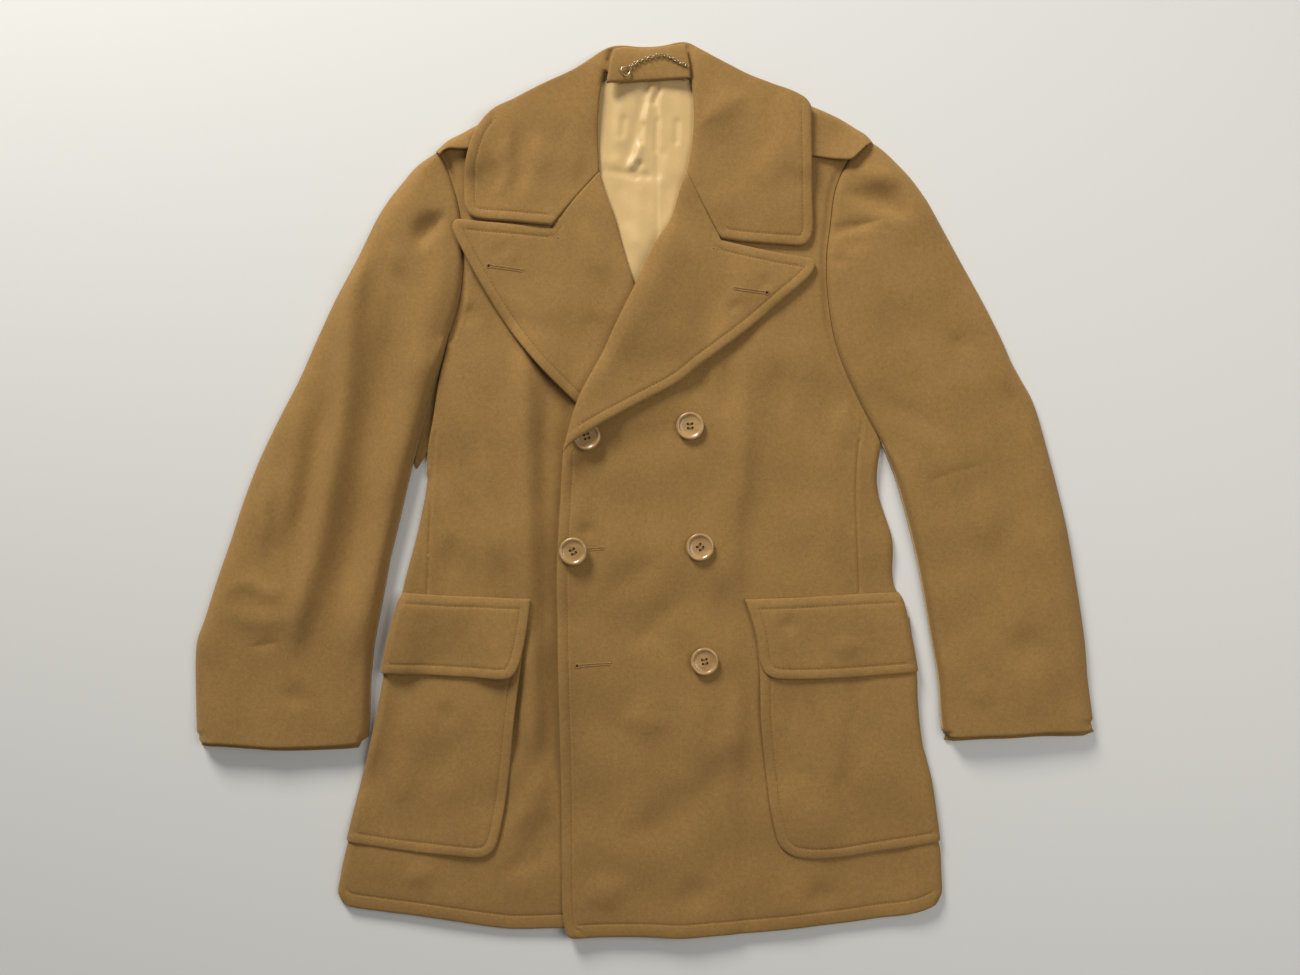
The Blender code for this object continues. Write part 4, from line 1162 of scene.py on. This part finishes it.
# %% Sewing a button on
def tube(points, radius, sides=8):
    """A closed round rod through points, as mesh points and faces."""
    p = np.asarray(points, float)
    way = np.gradient(p, axis=0)
    way /= np.linalg.norm(way, axis=1)[:, None]
    side = np.cross(way, (0.0, 0.0, 1.0))
    flat = np.linalg.norm(side, axis=1) < 1e-3
    side[flat] = (1.0, 0.0, 0.0)
    side /= np.linalg.norm(side, axis=1)[:, None]
    up = np.cross(side, way)
    turns = np.linspace(0.0, 2 * math.pi, sides, endpoint=False)
    rings = [p + radius * (math.cos(t) * side + math.sin(t) * up) for t in turns]
    verts = np.stack(rings, axis=1).reshape(-1, 3)
    faces = []
    for k in range(len(p) - 1):
        for s in range(sides):
            a, b = k * sides + s, k * sides + (s + 1) % sides
            faces.append((a, b, b + sides, a + sides))
    faces.append(tuple(range(sides))[::-1])
    faces.append(tuple((len(p) - 1) * sides + s for s in range(sides)))
    return verts, faces


def gather(parts):
    """Several shapes as one list of points and faces."""
    verts, faces, count = [], [], 0
    for v, f in parts:
        verts.append(v)
        faces += [tuple(i + count for i in face) for face in f]
        count += len(v)
    return np.vstack(verts), faces


def make_mesh(name, verts, faces, material):
    mesh = bpy.data.meshes.new(name)
    mesh.from_pydata((np.asarray(verts) * MM).tolist(), [], faces)
    mesh.update()
    mesh.shade_smooth()
    mesh.materials.append(material)
    return placed(name, mesh)


def sew_button(name, x, y, turn):
    ring = np.array([[x + 13 * math.cos(a), y + 13 * math.sin(a)] for a in np.arange(0.0, 6.2, 0.4)])
    base = float(drape(3.0, 2.0, blur=1)(ring).max()) + GAP
    mesh = BUTTON.copy()
    mesh.name = name
    c, s = math.cos(turn), math.sin(turn)
    for v in mesh.vertices:
        px, py, pz = v.co
        v.co = (c * px - s * py + x * MM, s * px + c * py + y * MM, pz + base * MM)
    mesh.materials.append(button_horn)
    belongs(placed(name + "_disc", mesh), name)
    bars = []
    for side in (-1, 1):
        for strand in (-0.25, 0.25):
            bar = []
            for t in np.linspace(-1.0, 1.0, 9):
                lift = 0.62 * BUTTON_HEIGHT + 0.55 * (1.0 - abs(t) ** 4) - 1.2 * (abs(t) > 0.99)
                px, py = HOLE_OUT * t, HOLE_OUT * side + strand
                bar.append((c * px - s * py + x, s * px + c * py + y, base + lift))
            bars.append(tube(bar, STRAND_RADIUS))
    sewing = make_mesh(name + "_thread", *gather(bars), thread)
    belongs(sewing)
    circle = trace([("free", [(x + BUTTON_RADIUS * math.cos(a), y + BUTTON_RADIUS * math.sin(a))
                              for a in np.linspace(0, 2 * math.pi, 20)])], 3.0)[0]
    lay(name, {"line": circle}, lambda points: np.full(len(points), base + BUTTON_HEIGHT))
    print(name, "lies at", round(base, 1), "mm")


sew_button("button_1", -57.5, 52.5, 0.3)

# %% Right lapel
lapel_right_parts = [
    ("edge", [(76.8, 250.1), (129.8, 238.2), (162.1, 232.6), (169, 230.4), (171.2, 223.6), (164, 211.7),
              (141.2, 191.6), (101.1, 157.7), (58.1, 125.8), (33.5, 106), (-4.4, 85.6), (-34.2, 69.6),
              (-49.6, 60.6), (-64.5, 51.4), (-75, 43.6), (-81.5, 35.9)]),
    ("roll", ROLL_RIGHT),
    ("seam", GORGE_RIGHT),
]
lapel_right_height = lay_piece("lapel_right", lapel_right_parts, LAPEL)

# %% [markdown]
# ## Shoulder straps
# A strap of doubled wool lies along each shoulder, from under the collar to the sleeve head. Its outer edge
# turns down with the shoulder, as the pockets do at the sides, so one function lays all of them.

# %% Laying a piece that turns down with a front
def lay_turned(name, parts, wall, level):
    piece = cut(parts, 3.5, pitch=4.5)
    pile = drape(level, 30.0)

    def height(points):
        top = pile(points) + GAP + wall + np.maximum(fold_rise(name, points) + 0.6, 0.0)
        top += stand_off(name, points) - rounding(piece, points, wall) + sewn(piece, points)
        return RIM + (top - RIM) * arc(beside(piece, points, "fold") / (BODY_ROUND + 2.5))

    near = lambda points: (beside(piece, points, "fold") < BODY_ROUND + 6.0).astype(float)
    thing, size = cloth(name, piece, height, wall, wool, near_fold=near)
    lay(name, piece, height)
    declare(thing, name, size)
    STITCHES.extend((run, height) for run in stitch_run(piece, "edge", STITCH_IN))


# %% Straps
lay_turned("strap_left", [
    ("fold", [(-211, 340), (-207.5, 343.4), (-197.5, 352.6), (-185.4, 358.9), (-173.4, 365.5),
              (-150.0, 377.5)]),
    ("free", [(-150, 377.5), (-150, 343.5)]),
    ("free", [(-150, 343.5), (-178.2, 340.8), (-195.5, 340.4), (-200.8, 338), (-204.5, 333.8)]),
    ("free", [(-204.5, 333.8), (-211, 340)]),
], STRAP, 12.5)
lay_turned("strap_right", [
    ("free", [(150, 338.5), (171, 334), (201, 329.4), (207, 329.6), (214, 335.6),
              (222, 343.2), (231, 348.5)]),
    ("fold", [(231, 348.5), (224.8, 356.5), (212.7, 364.8), (200.7, 372.5), (188.6, 378.6),
              (176.5, 383.8), (150, 394)]),
    ("free", [(150, 394), (150, 338.5)]),
], STRAP, 12.5)

# %% [markdown]
# ## Collar
# The fall runs round the neck in one piece, from one gorge seam over the shoulders and behind the neck to
# the other. Its leaves are stitched round their outer and lower edges and roll over at the neck.

# %% Collar
collar_parts = [
    ("edge", [(-92.9, 264.6), (-134.4, 268.2), (-165.6, 271.2), (-174.3, 274.4), (-180, 286.9),
              (-179.2, 324), (-171.8, 353), (-166.5, 364), (-160.5, 372.5)]),
    ("free", [(-160.5, 372.5), (-149.2, 382.6), (-125.1, 395), (-101, 407.4), (-77, 418.6),
              (-64.8, 425.3), (-52.7, 434), (-42, 442.8), (-33, 447.2), (-22, 448.4),
              (-4.5, 446.8), (7.6, 446.8), (19.7, 448), (31.7, 450.6), (40, 451.6), (47, 449.6),
              (56, 443.8), (68, 436.6), (80, 430.4), (104, 417.6), (128, 407.4),
              (140.3, 402.6), (152.4, 396.3), (162, 389.5), (166.5, 382)]),
    ("edge", [(166.5, 382), (167.2, 344.1), (168.5, 286.9), (168.5, 258), (161.6, 245.7),
              (144.3, 245.1), (101.3, 248.3), (76.8, 251.7)]),
    ("seam", GORGE_RIGHT[::-1]),
    ("roll", [(42.5, 318.1), (48.2, 350.9), (49.6, 373.8), (48.2, 402.3), (43.8, 423.5)]),
    ("free", [(43.8, 423.5), (0, 418), (-39.7, 419.5)]),
    ("roll", [(-39.7, 419.5), (-43.7, 402.3), (-46.6, 373.6), (-46.6, 344.8), (-45.5, 319.1)]),
    ("seam", GORGE_LEFT),
]
lay_piece("collar", collar_parts, LAPEL, ("lapel_left", "lapel_right"),
          [[(-33.5, 442), (-37, 428), (-41.5, 407)], [(42, 444), (46, 428), (47.5, 414)]])

# %% Collar stand
stand_parts = [
    ("seam", [(-38, 406.5), (-13.5, 409), (15.3, 410.5), (46, 411.5)]),
    ("free", [(46, 411.5), (44.5, 430), (40.5, 447)]),
    ("roll", [(40.5, 447), (26, 445.6), (0.5, 442.5), (-20, 444), (-31, 441.5)]),
    ("free", [(-31, 441.5), (-34.6, 425.3), (-38, 406.5)]),
]
lay_piece("collar_stand", stand_parts, WOOL)

# %% [markdown]
# ## Patch pockets and flaps
# The pockets are sewn on the fronts and run into the side seams, so they turn down with the sides. The
# flaps are sewn above them and lie over their mouths.

# %% Pockets
lay_turned("pocket_left", [
    ("edge", [(-117, -129), (-123.7, -181.6), (-130.3, -231.5), (-136.2, -286.9), (-143.7, -336.8),
              (-151.4, -361.8), (-163.8, -369.4), (-191.6, -368.1), (-241.3, -363.1), (-301.5, -354)]),
    ("fold", [(-301.5, -354), (-297, -334.7), (-291.8, -314.5), (-281.6, -274), (-272.4, -233.6),
              (-264.6, -193), (-254.5, -129)]),
    ("free", [(-254.5, -129), (-117, -129)]),
], PATCH, 9.0)
lay_turned("pocket_right", [
    ("edge", [(111.4, -129), (115.9, -187), (117.2, -233), (123.9, -300.3), (129.3, -335.3),
              (137.3, -359.5), (153.4, -369.8), (191.3, -371), (231.8, -365), (299.5, -354.3)]),
    ("fold", [(299.5, -354.3), (297, -334.7), (290.9, -294.2), (285.9, -274), (280.8, -253.8),
              (276.8, -213.4), (275.7, -185), (268, -129)]),
    ("free", [(268, -129), (111.4, -129)]),
], PATCH, 9.0)

# %% Flaps
lay_turned("flap_left", [
    ("edge", [(-243, -103.4), (-191.4, -107.5), (-113.6, -109.6)]),
    ("edge", [(-113.6, -109.6), (-117.4, -141.3), (-122.3, -166.4), (-128.6, -182.7), (-136.2, -188.5),
              (-166.4, -189.1), (-216.1, -186.4), (-266.6, -184.2)]),
    ("fold", [(-266.6, -184.2), (-260.5, -152.7), (-255, -132.5), (-248.5, -112.2), (-243, -103.4)]),
], FLAP, 12.0)
lay_turned("flap_right", [
    ("edge", [(257, -103.8), (217.6, -105.3), (164.1, -108.7), (100.8, -110.9)]),
    ("edge", [(100.8, -110.9), (107.5, -130.3), (112.9, -151.4), (116.9, -175.9), (123.6, -186.5),
              (136.9, -190.4), (190.8, -189.9), (277, -184)]),
    ("fold", [(277, -184), (271.6, -152.7), (262.2, -112.2), (257, -103.8)]),
], FLAP, 12.0)

# %% The other buttons
for name, x, y, turn in (
    ("button_2", 45.7, 63.1, 0.1),
    ("button_3", -71.0, -62.1, 0.5),
    ("button_4", 55.7, -58.1, 0.75),
    ("button_5", 60.3, -172.5, 0.2),
):
    sew_button(name, x, y, turn)


# %% [markdown]
# ## Topstitching
# Thousands of stitches follow the edges, so Geometry Nodes place them: a curve through each stitching
# line gets a point every stitch, and a small spindle of thread is put on each point along the line.

# %% Node trees that work along lines
def line_tree(name, sizes):
    """A tree with its named inputs, its two ends, and a point every Spacing along the lines."""
    tree = bpy.data.node_groups.new(name, "GeometryNodeTree")
    socket(tree, "Geometry", "INPUT", "NodeSocketGeometry")
    for key, value in sizes.items():
        socket(tree, key, "INPUT", "NodeSocketFloat", value)
    socket(tree, "Material", "INPUT", "NodeSocketMaterial")
    socket(tree, "Geometry", "OUTPUT", "NodeSocketGeometry")
    start, end = node(tree, "NodeGroupInput"), node(tree, "NodeGroupOutput")
    spots = node(tree, "GeometryNodeCurveToPoints", mode="LENGTH")
    tree.links.new(start.outputs["Geometry"], spots.inputs["Curve"])
    tree.links.new(start.outputs["Spacing"], spots.inputs["Length"])
    return tree, start, end, spots


def put_on(tree, spots, shape):
    """A copy of a shape on each point, turned along the line."""
    put = node(tree, "GeometryNodeInstanceOnPoints")
    tree.links.new(spots.outputs["Points"], put.inputs["Points"])
    tree.links.new(shape, put.inputs["Instance"])
    tree.links.new(spots.outputs["Rotation"], put.inputs["Rotation"])
    return put


def make_real(tree, start, end, instances):
    """The end of a tree: the copies become real and get the material."""
    real = node(tree, "GeometryNodeRealizeInstances")
    tree.links.new(instances, real.inputs["Geometry"])
    paint = node(tree, "GeometryNodeSetMaterial")
    tree.links.new(real.outputs["Geometry"], paint.inputs["Geometry"])
    tree.links.new(start.outputs["Material"], paint.inputs["Material"])
    tree.links.new(paint.outputs["Geometry"], end.inputs["Geometry"])


# %% Node tree: stitches along a line
def stitch_tree():
    sizes = {"Spacing": 0.0035, "Length": 0.0026, "Thickness": 0.00045}
    tree, start, end, spots = line_tree("stitches_along_lines", sizes)
    link = tree.links.new
    ball = node(tree, "GeometryNodeMeshIcoSphere", Radius=0.5, Subdivisions=1)
    size = node(tree, "ShaderNodeCombineXYZ")
    for axis, name in (("X", "Thickness"), ("Y", "Thickness"), ("Z", "Length")):
        link(start.outputs[name], size.inputs[axis])
    put = put_on(tree, spots, ball.outputs["Mesh"])
    link(size.outputs["Vector"], put.inputs["Scale"])
    make_real(tree, start, end, put.outputs["Instances"])
    return tree


def with_nodes(name, source, tree, values):
    """Run a node tree on an object once and keep the result as a plain mesh."""
    modifier = source.modifiers.new(name, "NODES")
    modifier.node_group = tree
    for item in tree.interface.items_tree:
        if item.item_type == "SOCKET" and item.in_out == "INPUT" and item.name in values:
            modifier[item.identifier] = values[item.name]
    evaluated = source.evaluated_get(bpy.context.evaluated_depsgraph_get())
    mesh = bpy.data.meshes.new_from_object(evaluated)
    bpy.data.objects.remove(source)
    mesh.name = name
    mesh.shade_smooth()
    return placed(name, mesh)


def lines_object(name, lines):
    """A curve object with one plain line for each list of points, in millimetres."""
    curve = bpy.data.curves.new(name, "CURVE")
    curve.dimensions = "3D"
    for line in lines:
        spline = curve.splines.new("POLY")
        spline.points.add(len(line) - 1)
        for point, place in zip(spline.points, line):
            point.co = (*(c * MM for c in place), 1.0)
    return placed(name, curve)


# %% Topstitching
seams = []
for run, height in STITCHES:
    seams.append(np.column_stack([run, height(run) + 0.12]))
topstitching = with_nodes("topstitching", lines_object("topstitching", seams), stitch_tree(),
                          {"Spacing": 0.0036, "Length": 0.0029, "Thickness": 0.0006, "Material": thread})
belongs(topstitching)
print(len(seams), "rows of stitching,", len(topstitching.data.polygons), "faces")

# %% [markdown]
# ## Hanger chain
# A fine chain is sewn inside the neck to hang the coat by. Its links alternate, so a node tree turns
# every second one by a quarter.

# %% Node tree: links along a line
def chain_tree():
    sizes = {"Spacing": 0.003, "Link Length": 0.004, "Wire": 0.0004}
    tree, start, end, spots = line_tree("links_along_a_line", sizes)
    link = tree.links.new
    ring = node(tree, "GeometryNodeCurvePrimitiveCircle", Resolution=14, Radius=0.5)
    shape = node(tree, "GeometryNodeTransform")
    shape.inputs["Rotation"].default_value = (math.pi / 2, 0.0, 0.0)
    shape.inputs["Scale"].default_value = (0.62, 1.0, 1.0)
    link(ring.outputs["Curve"], shape.inputs["Geometry"])
    grow = node(tree, "GeometryNodeTransform")
    link(shape.outputs["Geometry"], grow.inputs["Geometry"])
    size = node(tree, "ShaderNodeCombineXYZ")
    for axis in "XYZ":
        link(start.outputs["Link Length"], size.inputs[axis])
    link(size.outputs["Vector"], grow.inputs["Scale"])
    wire = node(tree, "GeometryNodeCurvePrimitiveCircle", Resolution=6)
    link(start.outputs["Wire"], wire.inputs["Radius"])
    body = node(tree, "GeometryNodeCurveToMesh")
    link(grow.outputs["Geometry"], body.inputs["Curve"])
    link(wire.outputs["Curve"], body.inputs["Profile Curve"])
    put = put_on(tree, spots, body.outputs["Mesh"])
    number = node(tree, "GeometryNodeInputIndex")
    odd = node(tree, "ShaderNodeMath", operation="MODULO")
    odd.inputs[1].default_value = 2.0
    link(number.outputs["Index"], odd.inputs[0])
    quarter = node(tree, "ShaderNodeMath", operation="MULTIPLY")
    quarter.inputs[1].default_value = math.pi / 2
    link(odd.outputs["Value"], quarter.inputs[0])
    lean = node(tree, "ShaderNodeMath", operation="ADD")
    lean.inputs[1].default_value = math.pi / 4
    link(quarter.outputs["Value"], lean.inputs[0])
    twist = node(tree, "ShaderNodeCombineXYZ")
    link(lean.outputs["Value"], twist.inputs["Z"])
    turn = node(tree, "GeometryNodeRotateInstances")
    link(put.outputs["Instances"], turn.inputs["Instances"])
    link(twist.outputs["Vector"], turn.inputs["Rotation"])
    make_real(tree, start, end, turn.outputs["Instances"])
    return tree


# %% Hanger chain
CHAIN = [(-14, 423), (-7.8, 427.5), (2, 431.2), (15.2, 434.1), (24.9, 431.9), (34.8, 426.4),
         (42.5, 423.0)]
rest = drape(4.0, 10.0, blur=1)
run = through(CHAIN, 2.0)
path = lines_object("chain_path", [np.column_stack([run, rest(run) + 1.6])])
chain = with_nodes("chain_links", path, chain_tree(),
                   {"Spacing": 0.0029, "Link Length": 0.0042, "Wire": 0.00042, "Material": chain_brass})
belongs(chain, "hanger_chain")
turns = np.linspace(0.0, 2 * math.pi, 33)
loop = np.column_stack([-18.8 + 4.4 * np.cos(turns), 418.0 + 4.4 * np.sin(turns)])
loop = np.column_stack([loop, rest(loop) + 1.2])
chain_ring = make_mesh("chain_ring", *tube(loop, 0.75, 10), chain_brass)
belongs(chain_ring)

# %% [markdown]
# ## Buttonholes
# A worked buttonhole is a slit with close stitches round it and a round eye at one end. The stitches are
# short bars set across the slit's outline. The eye's hole is not cut: a near-black disc is its painted
# shade.

# %% Buttonholes
EYE_RADIUS = 1.5
SLIT_START = 1.6  # how far from the eye's middle the slit begins
SLIT_HALF = 0.45
BAR_PITCH = 0.85
BAR_LENGTH = 1.3


def buttonhole(name, eye, tail, height):
    eye, tail = np.array(eye, float), np.array(tail, float)
    way = (tail - eye) / np.linalg.norm(tail - eye)
    side = np.array([-way[1], way[0]])
    around = []
    for t in np.linspace(math.radians(35), math.radians(325), 15):
        around.append(eye + EYE_RADIUS * (math.cos(t) * way + math.sin(t) * side))
    length = np.linalg.norm(tail - eye)
    for far in np.arange(SLIT_START, length, BAR_PITCH):
        around.append(eye + way * far - side * SLIT_HALF)
    for far in np.arange(length, SLIT_START, -BAR_PITCH):
        around.append(eye + way * far + side * SLIT_HALF)
    around = np.array(around)
    outward = np.gradient(around, axis=0)
    outward = np.column_stack([outward[:, 1], -outward[:, 0]])
    outward /= np.maximum(np.linalg.norm(outward, axis=1), 1e-6)[:, None]
    bars = []
    for place, out in zip(around, outward):
        ends = np.array([place, place + out * BAR_LENGTH])
        z = height(ends) + (0.16, 0.02)
        bars.append(tube([(*ends[0], z[0]), (*(ends.mean(0)), z.mean() + 0.1), (*ends[1], z[1])], 0.28, 6))
    made = make_mesh(name, *gather(bars), buttonhole_thread)
    belongs(made)
    # The eye is not cut through: a flat near-black disc on the cloth is the painted shade of its hole.
    circle = np.array([eye + 1.1 * np.array([math.cos(a), math.sin(a)]) for a in np.linspace(0.0, 6.0, 12)])
    middle = (float(height(circle).mean()) + 0.2,)
    dot = make_mesh(name + "_eye", np.array([(*p, *middle) for p in circle]), [tuple(range(12))], eye_shade)
    belongs(dot)


buttonhole("buttonhole_3", (-73.5, -61.6), (-39.7, -59.3), front_right_height)
buttonhole("buttonhole_5", (-67.3, -176.9), (-33.6, -174.9), front_right_height)
buttonhole("buttonhole_lapel_left", (-155.7, 223.2), (-121.3, 218.6), lapel_left_height)
buttonhole("buttonhole_lapel_right", (122.7, 196.5), (88.5, 201.1), lapel_right_height)

# %% [markdown]
# ## Floor, light and camera
# The floor is plain and pale. One large soft lamp stands beyond the coat's upper left, as a window would,
# and an even sky fills the shadows. The camera looks straight down.

# %% Floor
floor_mesh = bpy.data.meshes.new("floor")
floor_mesh.from_pydata([(-3, -3, 0), (3, -3, 0), (3, 3, 0), (-3, 3, 0)], [], [(0, 1, 2, 3)])
floor = placed("floor", floor_mesh)
floor_paint, shader = finish("floor", 0.95)
shader.inputs["Base Color"].default_value = (0.70, 0.69, 0.65, 1.0)
floor_mesh.materials.append(floor_paint)
floor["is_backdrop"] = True

# %% Light
def lamp(name, place, target, size, power, colour):
    data = bpy.data.lights.new(name, "AREA")
    data.shape = "DISK"
    data.size = size
    data.energy = power
    data.color = colour
    thing = placed(name, data)
    thing.location = place
    thing.rotation_euler = (Vector(target) - Vector(place)).to_track_quat("-Z", "Y").to_euler()


lamp("window", (-1.1, 2.25, 1.2), (0.0, 0.0, 0.0), 0.9, 88.0, (1.0, 0.98, 0.945))
lamp("sky_light", (1.0, 0.1, 1.5), (0.0, 0.0, 0.0), 1.2, 11.5, (1.0, 0.98, 0.95))
world = bpy.data.worlds.new("sky")
world.use_nodes = True
world.node_tree.nodes["Background"].inputs["Color"].default_value = (0.93, 0.95, 1.0, 1.0)
world.node_tree.nodes["Background"].inputs["Strength"].default_value = 0.2
bpy.context.scene.world = world
bpy.context.scene.view_settings.view_transform = "Standard"

# %% Camera
CAMERA_HEIGHT = 1.0736
VIEW_WIDTH = 1.318  # what the picture's width shows on the floor
lens = bpy.data.cameras.new("camera")
lens.sensor_width = 36.0
lens.lens = 36.0 * CAMERA_HEIGHT / VIEW_WIDTH
camera = placed("camera", lens)
camera.location = (0.0056, 0.0015, CAMERA_HEIGHT)
bpy.context.scene.camera = camera

# %% Sizes and the end
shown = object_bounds()
boxes = {"cad": cad_box, "visual": shown}
{key: [list(map(float, c)) for c in box] for key, box in boxes.items()}
print("shown box", [[round(v, 4) for v in corner] for corner in shown])
